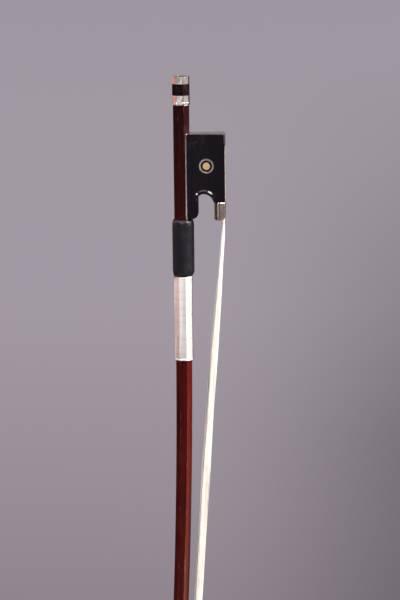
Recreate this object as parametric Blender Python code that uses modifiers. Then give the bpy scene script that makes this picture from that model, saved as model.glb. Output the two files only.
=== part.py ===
"""Violin bow, stored upright with the button at the top.

Frame: +Z runs along the handle towards the button, +X points to the hair side,
+Y and -Y are the two flat sides of the frog.  The origin lies on the axis of
the handle, level with the front of the frog, where thumb and fingers hold it.
All dimensions below are millimetres; meshes are made in metres.
"""
import bpy
import bmesh
import math
from mathutils import Matrix, Vector

# ------------------------------------------------------------------ dimensions
MM = 0.001
GAP = 0.3                    # air between neighbouring pieces

# stick
HANDLE_FLATS = 8.5           # octagonal handle, across its flats
HEAD_FLATS = 5.3             # octagon just behind the head
TAPER_FROM = -72.0
TAPER_TO = -638.0
TAPER_POWER = 1.8
CAMBER_FROM = -64.4          # the handle above this height is straight
CAMBER = 0.00015             # sideways bend, mm per mm squared
STICK_END = 60.7             # butt of the stick, under the button
NIPPLE_R = 2.45
NIPPLE_END = 62.9
BORE_R = 1.65
BORE_END = 6.0
MORTISE_HALF = 2.05          # eyelet slot in the handle
MORTISE_DEEP = -3.0

# button and screw
BUTTON_SEAT = 61.0
COLLAR_TOP = 66.05
CORE_LOW = 66.35
CORE_TOP = 72.2
RING_LOW = 72.5
BUTTON_END = 76.3
BUTTON_FLATS = 8.85
BUTTON_TURN = -6.0           # degrees that the button stands off the stick's facets
SCREW_R = 1.35
SCREW_END = 9.0
TANG = 2.2                   # square end of the screw

# frog
FROG_FRONT = 0.0
FROG_HEEL = 46.0
HEEL_PLATE = 0.4
SLIDE_X = 23.2               # outer plane of the pearl slide and the ferrule
WING_Y = 4.15
UNDERSLIDE = 0.5
EYELET_Z = 22.0
EYELET_HALF = 1.8
TRAVEL = 6.0                 # how far the screw draws the frog back
EYE_X = 13.4
EYE_Z = 28.8
EYE_RING_R = 3.95
EYE_RING_INNER = 3.08
EYE_DOT_R = 1.95
THROAT_LEFT = 8.6
THROAT_RIGHT = 17.05
THROAT_APEX_X = 11.6
THROAT_APEX_Z = 13.55
THUMB_RUN = 4.4              # the thumb projection ends in a quarter ellipse, this long along X
THUMB_RISE = 2.6             # and this high along Z
FERRULE_LOW = -0.3
FERRULE_TOP = 9.4
FERRULE_HALF = 6.6
FERRULE_WALL = 0.4
FERRULE_ARCH_X = 17.05
SLIDE_LOW = 9.8
SLIDE_TOP = 39.1
HAIR_MORTISE_LOW = 29.5
HAIR_MORTISE_TOP = 38.6

# grip
LEATHER_TOP = -0.3
LEATHER_LOW = -31.2
LEATHER_R = 5.9
LEATHER_SHIFT = 0.3          # the lap of the leather lies on the hair side
WINDING_TOP = -31.5
WINDING_LOW = -77.4
WINDING_FLATS = 9.75
GRIP_BORE_FLATS = 9.0

# head
PLATE_HEEL_X = -31.0         # rear edge of the tip plate's outer face
PLATE_HEEL_Z = -643.7
PLATE_SLOPE = 0.0817
PLATE_LENGTH = 25.0
PLATE_THICK = 0.9
LINER_THICK = 0.7
WOOD_H = 2.2                 # wood of the head starts this far above the plate face
HEAD_MORTISE = (1.6, 9.8, 3.15, 10.2)   # from, to, half width, depth

# hair
HAIR_EXIT_X = 22.1
HAIR_EXIT_Z = -2.0
HAIR_BULGE = 1.8
HAIR_OUT = 0.75              # middle of the ribbon outside the tip plate


# --------------------------------------------------------------------- helpers
for old in list(bpy.data.objects):
    bpy.data.objects.remove(old, do_unlink=True)


def collection(name):
    coll = bpy.data.collections.new(name)
    bpy.context.scene.collection.children.link(coll)
    return coll


PARTS = collection("violin_bow")
CUTTERS = collection("cutters")


def material(name, colour, roughness, metallic=0.0):
    mat = bpy.data.materials.new(name)
    mat.use_nodes = True
    shader = mat.node_tree.nodes["Principled BSDF"]
    shader.inputs["Base Color"].default_value = (*colour, 1.0)
    shader.inputs["Roughness"].default_value = roughness
    shader.inputs["Metallic"].default_value = metallic
    mat.diffuse_color = (*colour, 1.0)
    return mat


PERNAMBUCO = material("pernambuco", (0.13, 0.018, 0.012), 0.25)
EBONY = material("ebony", (0.012, 0.009, 0.009), 0.22)
SILVER = material("silver", (0.78, 0.74, 0.72), 0.18, 1.0)
STEEL = material("steel", (0.45, 0.45, 0.46), 0.3, 1.0)
BRASS = material("brass", (0.70, 0.50, 0.20), 0.3, 1.0)
PEARL = material("pearl", (0.80, 0.72, 0.55), 0.2)
LEATHER = material("leather", (0.014, 0.013, 0.018), 0.55)
WIRE = material("silver_wire", (0.80, 0.74, 0.70), 0.3, 1.0)
BONE = material("bone", (0.82, 0.78, 0.68), 0.4)
MAPLE = material("maple", (0.62, 0.45, 0.27), 0.6)
HAIR = material("horsehair", (0.75, 0.70, 0.62), 0.5)
THREAD = material("thread", (0.55, 0.10, 0.08), 0.8)


def finish(ob, mat, smooth=False):
    ob.data.materials.clear()
    ob.data.materials.append(mat)
    if smooth:
        ob.data.shade_smooth()
        ob.data.set_sharp_from_angle(angle=math.radians(35))
    return ob


def to_cutter(ob):
    for coll in list(ob.users_collection):
        coll.objects.unlink(ob)
    CUTTERS.objects.link(ob)
    ob.display_type = 'WIRE'
    ob.hide_render = True
    return ob


def mesh_object(name, bm):
    bmesh.ops.recalc_face_normals(bm, faces=bm.faces)
    me = bpy.data.meshes.new(name)
    bm.to_mesh(me)
    bm.free()
    ob = bpy.data.objects.new(name, me)
    PARTS.objects.link(ob)
    return ob


def box(name, low, high):
    bm = bmesh.new()
    bmesh.ops.create_cube(bm, size=1.0)
    size = [h - l for l, h in zip(low, high)]
    mid = [(h + l) / 2 for l, h in zip(low, high)]
    for v in bm.verts:
        v.co = Vector(v.co[i] * size[i] * MM for i in range(3))
    ob = mesh_object(name, bm)
    ob.location = Vector(mid) * MM
    return ob


def rod(name, radius, start, end, segments=20):
    """A straight round bar between two points."""
    a, b = Vector(start), Vector(end)
    bm = bmesh.new()
    bmesh.ops.create_cone(bm, cap_ends=True, segments=segments,
                          radius1=radius * MM, radius2=radius * MM,
                          depth=(b - a).length * MM)
    ob = mesh_object(name, bm)
    turn = (b - a).to_track_quat('Z', 'Y')
    ob.rotation_mode = 'QUATERNION'
    ob.rotation_quaternion = turn
    ob.location = (a + b) / 2 * MM
    return ob


def outline(name, loops, low, high, plane):
    """Flat outline, given as one or more closed loops, made thick.

    plane XY: points are (x, y), thickness from low to high along Z.
    plane XZ: points are (x, z), thickness from low to high along Y.
    """
    cu = bpy.data.curves.new(name + "_outline", 'CURVE')
    cu.dimensions = '2D'
    cu.fill_mode = 'BOTH'
    cu.extrude = (high - low) / 2 * MM
    for loop in loops:
        sp = cu.splines.new('POLY')
        sp.points.add(len(loop) - 1)
        for point, (u, v) in zip(sp.points, loop):
            point.co = (u * MM, v * MM, 0.0, 1.0)
        sp.use_cyclic_u = True
    guide = bpy.data.objects.new(name + "_outline", cu)
    CUTTERS.objects.link(guide)
    if plane == 'XZ':
        place = Matrix.Translation((0, (low + high) / 2 * MM, 0)) @ \
            Matrix.Rotation(math.radians(90), 4, 'X')
    else:
        place = Matrix.Translation((0, 0, (low + high) / 2 * MM))
    guide.matrix_world = place
    graph = bpy.context.evaluated_depsgraph_get()
    graph.update()
    me = bpy.data.meshes.new_from_object(guide.evaluated_get(graph))
    bm = bmesh.new()
    bm.from_mesh(me)
    bmesh.ops.remove_doubles(bm, verts=bm.verts, dist=1e-7)
    ob = mesh_object(name, bm)
    ob.matrix_world = place
    bpy.data.objects.remove(guide, do_unlink=True)
    bpy.data.meshes.remove(me)
    return ob


def loft(name, sections):
    """Skin a list of equal-count rings and close both ends."""
    bm = bmesh.new()
    rings = [[bm.verts.new(Vector(p) * MM) for p in ring] for ring in sections]
    count = len(rings[0])
    for one, two in zip(rings, rings[1:]):
        for i in range(count):
            j = (i + 1) % count
            bm.faces.new((one[i], one[j], two[j], two[i]))
    bm.faces.new(rings[0])
    bm.faces.new(list(reversed(rings[-1])))
    return mesh_object(name, bm)


def boolean(ob, other, operation='DIFFERENCE'):
    mod = ob.modifiers.new(other.name, 'BOOLEAN')
    mod.operation = operation
    mod.solver = 'EXACT'
    mod.object = other
    return ob


def cut(ob, *cutters):
    for cutter in cutters:
        boolean(ob, cutter, 'DIFFERENCE')
    return ob


def circle(cx, cy, radius, count):
    return [(cx + radius * math.cos(2 * math.pi * i / count),
             cy + radius * math.sin(2 * math.pi * i / count)) for i in range(count)]


def octagon(flats):
    r = flats / 2
    a = r * math.tan(math.pi / 8)
    return [(-r, a), (-a, r), (a, r), (r, a), (r, -a), (a, -r), (-a, -r), (-r, -a)]


def monotone(points, x):
    """Smooth curve through (x, y) points that never overshoots them."""
    xs = [p[0] for p in points]
    ys = [p[1] for p in points]
    if x <= xs[0]:
        return ys[0]
    if x >= xs[-1]:
        return ys[-1]
    n = len(xs)
    d = [(ys[i + 1] - ys[i]) / (xs[i + 1] - xs[i]) for i in range(n - 1)]
    m = [d[0]] + [0.0 if d[i - 1] * d[i] <= 0 else 2 * d[i - 1] * d[i] / (d[i - 1] + d[i])
                  for i in range(1, n - 1)] + [d[-1]]
    k = max(i for i in range(n - 1) if xs[i] <= x)
    h = xs[k + 1] - xs[k]
    t = (x - xs[k]) / h
    return ((1 + 2 * t) * (1 - t) ** 2 * ys[k] + t * (1 - t) ** 2 * h * m[k]
            + t * t * (3 - 2 * t) * ys[k + 1] + t * t * (t - 1) * h * m[k + 1])


def smooth(t):
    t = min(1.0, max(0.0, t))
    return t * t * (3 - 2 * t)


# ------------------------------------------------------------------- the stick
def stick_x(z):
    d = max(0.0, CAMBER_FROM - z)
    return -CAMBER * d * d


def stick_slope(z):
    return 2 * CAMBER * max(0.0, CAMBER_FROM - z)


def stick_flats(z):
    t = min(1.0, max(0.0, (TAPER_FROM - z) / (TAPER_FROM - TAPER_TO)))
    return HEAD_FLATS + (HANDLE_FLATS - HEAD_FLATS) * (1 - t ** TAPER_POWER)


def stick_section(z):
    slope = stick_slope(z)
    n = math.hypot(1.0, slope)
    return [(stick_x(z) + v / n, y, z - v * slope / n) for v, y in octagon(stick_flats(z))]


# head frame: s runs along the tip plate from its rear edge to the point,
# h rises from the plate's outer face towards the back of the stick
HEAD_N = math.hypot(1.0, PLATE_SLOPE)


def head_point(s, h, y):
    return (PLATE_HEEL_X - (s * PLATE_SLOPE + h) / HEAD_N, y,
            PLATE_HEEL_Z - (s - h * PLATE_SLOPE) / HEAD_N)


def head_coords(x, z):
    dx, dz = x - PLATE_HEEL_X, z - PLATE_HEEL_Z
    return ((-dx * PLATE_SLOPE - dz) / HEAD_N, (-dx + dz * PLATE_SLOPE) / HEAD_N)


Z_HEAD = -635.0
S_STICK, H_STICK = head_coords(stick_x(Z_HEAD), Z_HEAD)
H_SLOPE = stick_slope(Z_HEAD) - PLATE_SLOPE
R_HEAD = HEAD_FLATS / 2


def stick_h(s):
    return H_STICK + H_SLOPE * (s - S_STICK)


def plate_lift(s):
    return 0.9 * (max(0.0, s - 13.0) / 12.0) ** 2


def plate_half(s):
    return monotone([(0, 5.05), (3, 5.1), (8, 4.85), (12, 4.3), (16, 3.5), (20, 2.55),
                     (23, 1.7), (25, 0.95)], s)


def head_top(s):
    start = stick_h(2.0) + R_HEAD
    if s <= 2.0:
        return stick_h(s) + R_HEAD
    return monotone([(2, start), (4.5, start + 0.15), (7, start - 0.35), (9, start - 1.5),
                     (10.6, start - 3.3), (11.9, start - 5.8), (13, start - 8.7),
                     (14.2, start - 11.3), (15.8, start - 13.6), (17.8, start - 15.3),
                     (20, start - 16.5), (22.5, start - 17.4), (25, start - 18.1)], s)


def head_bottom(s):
    if s <= -5.2:
        return stick_h(s) - R_HEAD
    under = stick_h(-5.2) - R_HEAD
    return monotone([(-5.2, under), (-3.6, under - 0.4), (-2.3, under - 1.7),
                     (-1.4, under - 3.8), (-0.8, under - 6.6), (-0.4, under - 9.6),
                     (-0.15, under - 12.1), (0.0, WOOD_H), (26.0, WOOD_H)], s) + plate_lift(s)


def cheek(s, h):
    t = min(1.0, max(0.0, (h - WOOD_H) / 17.0))
    return plate_half(s) * (1 - 0.46 * t ** 0.9)


def head_section(s):
    top, low = head_top(s), head_bottom(s)
    b = smooth((s + 6.0) / 5.5)
    f = smooth((s + 1.0) / 9.0)
    r = R_HEAD
    a = r * math.tan(math.pi / 8)
    chamfer = monotone([(0, 1.6), (8, 2.4), (14, 2.2), (19, 0.9), (25, 0.35)], s)
    c = (r - a) * (1 - f) + chamfer * f
    e = (r - a) * (1 - b) + 0.35 * b
    w0 = a * (1 - f) + monotone([(0, 1.0), (9, 0.6), (25, 0.4)], s) * f
    w1 = r * (1 - b) + cheek(s, top - c) * b
    w2 = r * (1 - b) + cheek(s, low + e) * b
    w3 = a * (1 - b) + cheek(s, low) * 0.95 * b
    half = [(top, w0), (top - c, w1), (low + e, w2), (low, w3)]
    ring = half + [(h, -w) for h, w in reversed(half)]
    return [head_point(s, h, y) for h, y in ring]


stations = [STICK_END, 46.0, 0.0, CAMBER_FROM]
z = CAMBER_FROM - 12.0
while z > Z_HEAD + 8:
    stations.append(z)
    z -= 18.0
stations.append(Z_HEAD)
head_stations = [-5.0, -4.3, -3.6, -2.9, -2.3, -1.8, -1.4, -1.05, -0.8, -0.55, -0.4, -0.25,
                 -0.12, 0.0, 1.0, 2.5, 4.0, 5.5, 7.0, 8.2, 9.3, 10.2, 11.0, 11.8, 12.5, 13.2,
                 14.0, 15.0, 16.2, 17.8, 19.6, 21.6, 23.4, 24.5, 25.0]
stick = loft("stick", [stick_section(z) for z in stations]
             + [head_section(s) for s in head_stations])

nipple = to_cutter(rod("nipple_form", NIPPLE_R, (0, 0, STICK_END - 2), (0, 0, NIPPLE_END), 24))
screw_bore = to_cutter(rod("screw_bore", BORE_R, (0, 0, BORE_END), (0, 0, 70), 20))
slot_low = EYELET_Z - 3.1
slot_top = EYELET_Z + TRAVEL + 3.1
eyelet_slot = to_cutter(box("eyelet_slot", (MORTISE_DEEP, -MORTISE_HALF, slot_low),
                            (8, MORTISE_HALF, slot_top)))


def head_box(name, s0, s1, half, h0, h1):
    """A block set square to the tip plate."""
    bm = bmesh.new()
    bmesh.ops.create_cube(bm, size=1.0)
    for v in bm.verts:
        v.co = Vector((v.co.x * (h1 - h0), v.co.y * 2 * half, v.co.z * (s1 - s0))) * MM
    ob = mesh_object(name, bm)
    ob.rotation_euler = (0, math.atan(PLATE_SLOPE), 0)
    ob.location = Vector(head_point((s0 + s1) / 2, (h0 + h1) / 2, 0)) * MM
    return ob


m_from, m_to, m_half, m_deep = HEAD_MORTISE
head_mortise = to_cutter(head_box("head_mortise", m_from, m_to, m_half, -3.0, m_deep))
boolean(stick, nipple, 'UNION')
cut(stick, screw_bore, eyelet_slot, head_mortise)
finish(stick, PERNAMBUCO)


# --------------------------------------------------------------- the tip plate
def plate_loft(name, low, thick, grow, end):
    stations = [0.05, 1.0, 2.5, 4.5, 6.5, 8.5, 10.5, 12.0, 13.5, 15.0, 16.5, 18.0, 19.5, 21.0,
                22.5, 23.7, 24.6, end]
    rings = []
    for s in stations:
        w = plate_half(min(s, 25.0)) + grow
        if s > 25.0:
            w *= 0.75
        h = low + plate_lift(s)
        rings.append([head_point(s, h + thick, w), head_point(s, h, w * 0.98),
                      head_point(s, h, -w * 0.98), head_point(s, h + thick, -w)])
    return loft(name, rings)


tip_plate = finish(cut(plate_loft("tip_plate", 0.0, PLATE_THICK, 0.05, 25.5), head_mortise), BONE)
tip_liner = finish(cut(plate_loft("tip_liner", PLATE_THICK + GAP * 0.8, LINER_THICK, 0.0, 25.3),
                       head_mortise), EBONY)
head_plug = finish(head_box("head_plug", 3.5, 9.45, 2.8, 0.35, 6.9), MAPLE)


def knot(name, start, end, wide, deep, across):
    """Thread-bound end of the hank: an oval barrel, wide along Y."""
    ob = rod(name, 1.0, start, end, 16)
    axis = (Vector(end) - Vector(start)).normalized()
    side = Vector((0, 1, 0))
    third = axis.cross(side)
    turn = Matrix((third, side, axis)).transposed()
    me = ob.data
    for v in me.vertices:
        v.co = Vector((v.co.x * deep, v.co.y * wide, v.co.z))
    ob.rotation_mode = 'QUATERNION'
    ob.rotation_quaternion = turn.to_quaternion()
    return finish(ob, THREAD, True)


head_knot = knot("hair_knot_head", head_point(4.1, 7.25, 0), head_point(4.1, 9.8, 0),
                 2.6, 1.9, 0)


# ------------------------------------------------------- button and its screw
def button_ring(name, profile, bore, segments=24):
    """Octagonal ring: profile is a list of (z, flats)."""
    ob = loft(name, [[(x, y, z) for x, y in octagon(f)] for z, f in profile])
    hole = to_cutter(rod(name + "_bore", bore, (0, 0, profile[0][0] - 3),
                         (0, 0, profile[-1][0] + 3), segments))
    return cut(ob, hole)


collar = button_ring("button_collar", [(BUTTON_SEAT, BUTTON_FLATS), (BUTTON_SEAT + 0.3, 9.15),
                                       (BUTTON_SEAT + 1.4, 9.15), (BUTTON_SEAT + 1.8, 8.9),
                                       (COLLAR_TOP, 8.95)], 2.95)
end_ring = button_ring("button_end_ring", [(RING_LOW, 8.8), (BUTTON_END - 0.5, 8.75),
                                           (BUTTON_END, 8.1)], 3.05)
core = loft("button_core", [[(x, y, zz) for x, y in octagon(f)] for zz, f in
                            ((CORE_LOW, 8.9), (CORE_TOP, 8.8))])
core_low = to_cutter(rod("core_low_spigot", 2.65, (0, 0, 63.5), (0, 0, 68), 24))
core_top = to_cutter(rod("core_top_spigot", 2.75, (0, 0, 70), (0, 0, 76.0), 24))
tang_hole = to_cutter(box("tang_hole", (-TANG / 2 - GAP, -TANG / 2 - GAP, 60),
                          (TANG / 2 + GAP, TANG / 2 + GAP, 74.1)))
eye_pocket = to_cutter(rod("button_eye_pocket", 1.75, (0, 0, 74.95), (0, 0, 78), 20))
boolean(core, core_low, 'UNION')
boolean(core, core_top, 'UNION')
cut(core, tang_hole, eye_pocket)
button_eye = rod("button_eye", 1.45, (0, 0, 75.25), (0, 0, 75.95), 20)

screw = rod("adjusting_screw", SCREW_R, (0, 0, SCREW_END), (0, 0, 63.4), 20)
tang = to_cutter(box("screw_tang", (-TANG / 2, -TANG / 2, 62.8), (TANG / 2, TANG / 2, 73.8)))
boolean(screw, tang, 'UNION')

button_pins = []
for label, height, owner, reach in (("collar", 64.9, collar, 4.35), ("ring", 74.2, end_ring, 4.25)):
    for number, side in ((1, 1), (2, -1)):
        pin = rod("%s_pin_%d" % (label, number), 0.4, (0, side * 3.25, height),
                  (0, side * reach, height), 12)
        hole = to_cutter(rod("%s_pin_hole_%d" % (label, number), 0.62, (0, side * 2.9, height),
                             (0, side * 6, height), 16))
        cut(owner, hole)
        button_pins.append(finish(pin, SILVER, True))

finish(collar, SILVER)
finish(end_ring, SILVER)
finish(core, EBONY)
finish(button_eye, PEARL, True)
finish(screw, STEEL, True)

# ------------------------------------------------------------------- the frog
FLAT = HANDLE_FLATS / 2
SLANT = FLAT * (1 + math.tan(math.pi / 8))     # x + |y| on the stick's slanted facets
ROOT2 = math.sqrt(2.0)


def trough(offset):
    """Flat and slanted facet positions at a distance from the stick."""
    return FLAT + offset, SLANT + offset * ROOT2


def frog_half(x):
    """Half thickness of the frog: hollow sides that widen to the slide."""
    t = max(0.0, (x - 3.4) / 18.4)
    return WING_Y + 2.2 * t ** 1.35


def frog_profile(shrink=0.0):
    flat, slant = trough(0.2 + UNDERSLIDE + 0.25)
    half = [(flat, slant - flat), (slant - WING_Y, WING_Y)]
    for x in (5.0, 7.0, 9.0, 11.0, 13.0, 15.0, 17.0, 19.0, 20.6, 21.8):
        half.append((x, frog_half(x) - shrink))
    half += [(SLIDE_X - 0.35, 6.3 - shrink), (SLIDE_X, 5.95 - shrink)]
    return half + [(x, -y) for x, y in reversed(half)]


def frog_side():
    """Side view of the ebony: heel, bottom, shoulder, throat and thumb projection."""
    plate = GAP + HEEL_PLATE
    pts = [(-1.0, FROG_FRONT), (-1.0, FROG_HEEL - plate),
           (SLIDE_X - plate - 0.6, FROG_HEEL - plate), (SLIDE_X - plate, FROG_HEEL - plate - 0.6),
           (SLIDE_X - plate, 40.3), (SLIDE_X + 1.5, 40.3), (SLIDE_X + 1.5, FERRULE_TOP + GAP)]
    # hair-side quarter of the throat, an ellipse
    ax, az = THROAT_RIGHT - THROAT_APEX_X, 5.0
    cz = THROAT_APEX_Z - az
    start = math.asin((FERRULE_TOP + GAP - cz) / az)
    for i in range(9):
        t = start + (math.pi / 2 - start) * i / 8
        pts.append((THROAT_APEX_X + ax * math.cos(t), cz + az * math.sin(t)))
    # stick-side quarter, an arc
    r = THROAT_APEX_X - THROAT_LEFT
    for i in range(1, 8):
        t = math.pi / 2 + math.pi / 2 * i / 7
        pts.append((THROAT_APEX_X + r * math.cos(t), THROAT_APEX_Z - r + r * math.sin(t)))
    # rounded end of the thumb projection
    for i in range(8):
        t = -math.pi / 2 * i / 7
        pts.append((THROAT_LEFT - THUMB_RUN + THUMB_RUN * math.cos(t),
                    FROG_FRONT + THUMB_RISE + THUMB_RISE * math.sin(t)))
    return pts


frog = outline("frog_body", [frog_side()], -8.0, 8.0, 'XZ')
profile = to_cutter(outline("frog_profile", [frog_profile()], -2.0, 48.0, 'XY'))
boolean(frog, profile, 'INTERSECT')


def d_shape(inset, flat_x, count=14):
    """Arched outline of the ferrule, open side cut off at flat_x."""
    half = FERRULE_HALF - inset
    cx = 20.9
    rise = cx - FERRULE_ARCH_X - inset
    low = min(flat_x, 22.5)
    pts = []
    if flat_x > cx:
        corner = max(0.0, flat_x - 22.5)
        pts += [(flat_x, -half + corner), (low, -half)]
        t0 = -math.pi / 2
    else:
        t0 = -math.acos((cx - flat_x) / rise)
    for i in range(count + 1):
        t = t0 + (-2 * t0) * i / count
        pts.append((cx - rise * math.cos(t), half * math.sin(t)))
    if flat_x > cx:
        pts += [(low, half), (flat_x, half - corner)]
    return pts


tongue = to_cutter(outline("frog_tongue", [d_shape(FERRULE_WALL + 0.28, 19.7)], 0.3, 11.0, 'XY'))
boolean(frog, tongue, 'UNION')


def groove_half(x, inset=0.0):
    return 3.9 - (x - 21.05) * 0.34 - inset


groove = to_cutter(outline("slide_groove", [[(21.05, -groove_half(21.05)), (24.0, -groove_half(24.0)),
                                             (24.0, groove_half(24.0)), (21.05, groove_half(21.05))]],
                           8.0, SLIDE_TOP + GAP, 'XY'))
channel = to_cutter(box("hair_channel", (19.45, -3.6, 8.6), (21.6, 3.6, 31.0)))
hair_mortise = to_cutter(box("hair_mortise", (14.2, -3.3, HAIR_MORTISE_LOW),
                             (21.9, 3.3, HAIR_MORTISE_TOP)))
shank_hole = to_cutter(rod("shank_hole", 1.9, (2.0, 0, EYELET_Z), (11.8, 0, EYELET_Z), 20))
cut(frog, groove, channel, hair_mortise, shank_hole)

# inlaid eyes on both cheeks
for label, side in (("near", -1), ("far", 1)):
    lo, hi = sorted((side * 3.75, side * 8.0))
    ring_pocket = to_cutter(outline("eye_ring_pocket_" + label,
                                    [circle(EYE_X, EYE_Z, EYE_RING_R + 0.28, 32),
                                     circle(EYE_X, EYE_Z, EYE_RING_INNER - 0.28, 32)], lo, hi, 'XZ'))
    dot_pocket = to_cutter(rod("eye_dot_pocket_" + label, EYE_DOT_R + 0.28,
                               (EYE_X, side * 3.75, EYE_Z), (EYE_X, side * 8.0, EYE_Z), 24))
    cut(frog, ring_pocket, dot_pocket)
    lo, hi = sorted((side * 4.05, side * 7.5))
    ring = outline("eye_ring_" + label, [circle(EYE_X, EYE_Z, EYE_RING_R, 32),
                                         circle(EYE_X, EYE_Z, EYE_RING_INNER, 32)], lo, hi, 'XZ')
    boolean(ring, profile, 'INTERSECT')
    finish(ring, SILVER)
    dot = rod("eye_pearl_" + label, EYE_DOT_R, (EYE_X, side * 4.05, EYE_Z),
              (EYE_X, side * 7.5, EYE_Z), 24)
    boolean(dot, profile, 'INTERSECT')
    finish(dot, PEARL)

# underslide: thin metal lining on three facets of the stick
in_flat, in_slant = trough(0.2)
out_flat, out_slant = trough(0.2 + UNDERSLIDE)
half = [(out_flat, out_slant - out_flat), (out_slant - WING_Y, WING_Y),
        (in_slant - WING_Y, WING_Y), (in_flat, in_slant - in_flat)]
underslide = outline("underslide", [half + [(x, -y) for x, y in reversed(half)]],
                     FROG_FRONT + 0.1, FROG_HEEL - 0.1, 'XY')
cut(underslide, shank_hole)

# heel plates
plate_cut = to_cutter(outline("heel_profile", [frog_profile()], 30.0, 50.0, 'XY'))
upper = outline("heel_plate_upper", [[(3.55, FROG_HEEL - HEEL_PLATE), (3.55, FROG_HEEL),
                                      (12.6, FROG_HEEL), (12.6, FROG_HEEL - HEEL_PLATE)]],
                -8, 8, 'XZ')
lower_pts = [(12.9, FROG_HEEL - HEEL_PLATE), (12.9, FROG_HEEL)]
for i in range(5):
    t = math.pi / 2 * (1 - i / 4)
    lower_pts.append((SLIDE_X - 1.3 + 1.3 * math.cos(t), FROG_HEEL - 1.3 + 1.3 * math.sin(t)))
lower_pts += [(SLIDE_X, 40.6), (SLIDE_X - HEEL_PLATE, 40.6),
              (SLIDE_X - HEEL_PLATE, FROG_HEEL - HEEL_PLATE - 0.75),
              (SLIDE_X - HEEL_PLATE - 0.75, FROG_HEEL - HEEL_PLATE)]
lower = outline("heel_plate_lower", [lower_pts], -8, 8, 'XZ')
trim = to_cutter(outline("heel_trim", [[(x, y) for x, y in frog_profile(0.0)]], 30, 50, 'XY'))
boolean(upper, trim, 'INTERSECT')
boolean(lower, trim, 'INTERSECT')

heel_pins = []
for number, (px, py) in enumerate(((6.6, 0.0), (10.6, 0.0), (15.5, -2.6), (15.5, 2.6)), 1):
    hole = to_cutter(rod("heel_pin_hole_%d" % number, 0.62, (px, py, 42.6), (px, py, 50), 16))
    cut(frog, hole)
    cut(upper if px < 12.7 else lower, hole)
    heel_pins.append(finish(rod("heel_pin_%d" % number, 0.4, (px, py, 43.0), (px, py, 45.95), 12),
                            SILVER, True))

underslide_pins = []
for number, pz in ((1, 39.0), (2, 6.0)):
    hole = to_cutter(rod("underslide_pin_hole_%d" % number, 0.75, (2.0, 0, pz), (7.6, 0, pz), 16))
    cut(frog, hole)
    cut(underslide, hole)
    underslide_pins.append(finish(rod("underslide_pin_%d" % number, 0.5, (4.5, 0, pz),
                                      (7.3, 0, pz), 12), SILVER, True))

finish(frog, EBONY)
finish(underslide, SILVER)
finish(upper, SILVER)
finish(lower, SILVER)

# threaded eyelet that the screw draws along
tombstone = [(4.1, -2.2), (4.1, 2.2)]
tombstone = [(x, EYELET_Z + dz) for x, dz in tombstone]
for i in range(13):
    t = math.pi / 2 + math.pi * i / 12
    tombstone.append((2.6 * math.cos(t), EYELET_Z + 2.6 * math.sin(t)))
eyelet = outline("eyelet", [tombstone], -EYELET_HALF, EYELET_HALF, 'XZ')
shank = to_cutter(rod("eyelet_shank", 1.55, (3.4, 0, EYELET_Z), (11.4, 0, EYELET_Z), 20))
thread = to_cutter(rod("eyelet_thread", SCREW_R + 0.17, (0, 0, EYELET_Z - 5),
                       (0, 0, EYELET_Z + 5), 20))
boolean(eyelet, shank, 'UNION')
cut(eyelet, thread)
finish(eyelet, BRASS)

# slide: ebony dovetail faced with pearl
def strip(name, x0, x1, inset):
    pts = [(x0, -groove_half(x0, inset)), (x1, -groove_half(x1, inset)),
           (x1, groove_half(x1, inset)), (x0, groove_half(x0, inset))]
    return outline(name, [pts], SLIDE_LOW, SLIDE_TOP, 'XY')


slide_backing = finish(strip("slide_backing", 21.3, 22.15, 0.27), EBONY)
pearl_slide = finish(strip("pearl_slide", 22.4, SLIDE_X, 0.27), PEARL)

# ferrule
ferrule = outline("ferrule", [d_shape(0.0, SLIDE_X, 20), d_shape(FERRULE_WALL, SLIDE_X - FERRULE_WALL, 20)],
                  FERRULE_LOW, FERRULE_TOP, 'XY')
# its flat face is cut back in front, where the hair comes out
nose = to_cutter(outline("ferrule_nose", [[(21.45, -1.0), (24.0, -1.0), (24.0, 2.45)]], -8.0, 8.0, 'XZ'))
cut(ferrule, nose)
finish(ferrule, SILVER)
wedge = loft("spread_wedge", [[(20.0, 5.2, 0.4), (21.35, 5.2, 0.4), (21.35, -5.2, 0.4), (20.0, -5.2, 0.4)],
                              [(20.0, 4.6, 5.4), (20.9, 4.6, 5.4), (20.9, -4.6, 5.4), (20.0, -4.6, 5.4)]])
finish(wedge, MAPLE)

# knot and plug in the hair mortise
frog_knot = knot("hair_knot_frog", (14.55, 0, 31.9), (17.1, 0, 31.9), 2.6, 1.9, 0)
frog_plug = finish(box("frog_plug", (17.7, -2.95, 31.9), (20.9, 2.95, 38.25)), MAPLE)

# --------------------------------------------------------------------- the grip
turned = bpy.data.meshes.new("leather_grip")
lap = 1.4
edge = [(5.25, LEATHER_TOP), (LEATHER_R - 0.12, LEATHER_TOP - 0.35), (LEATHER_R, LEATHER_TOP - lap),
        (LEATHER_R, LEATHER_LOW + lap), (LEATHER_R - 0.12, LEATHER_LOW + 0.35), (5.25, LEATHER_LOW)]
turned.from_pydata([(r * MM, 0, zz * MM) for r, zz in [(0.0, LEATHER_TOP)] + edge + [(0.0, LEATHER_LOW)]],
                   [(i, i + 1) for i in range(len(edge) + 1)], [])
leather = bpy.data.objects.new("leather_grip", turned)
PARTS.objects.link(leather)
leather.location = (LEATHER_SHIFT * MM, 0, 0)
spin = leather.modifiers.new("turn", 'SCREW')
spin.steps = spin.render_steps = 32
spin.use_merge_vertices = True
spin.merge_threshold = 0.00001
grip_bore = to_cutter(loft("grip_bore", [[(x, y, zz) for x, y in octagon(GRIP_BORE_FLATS)]
                                         for zz in (10.0, -90.0)]))
cut(leather, grip_bore)
finish(leather, LEATHER)

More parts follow.
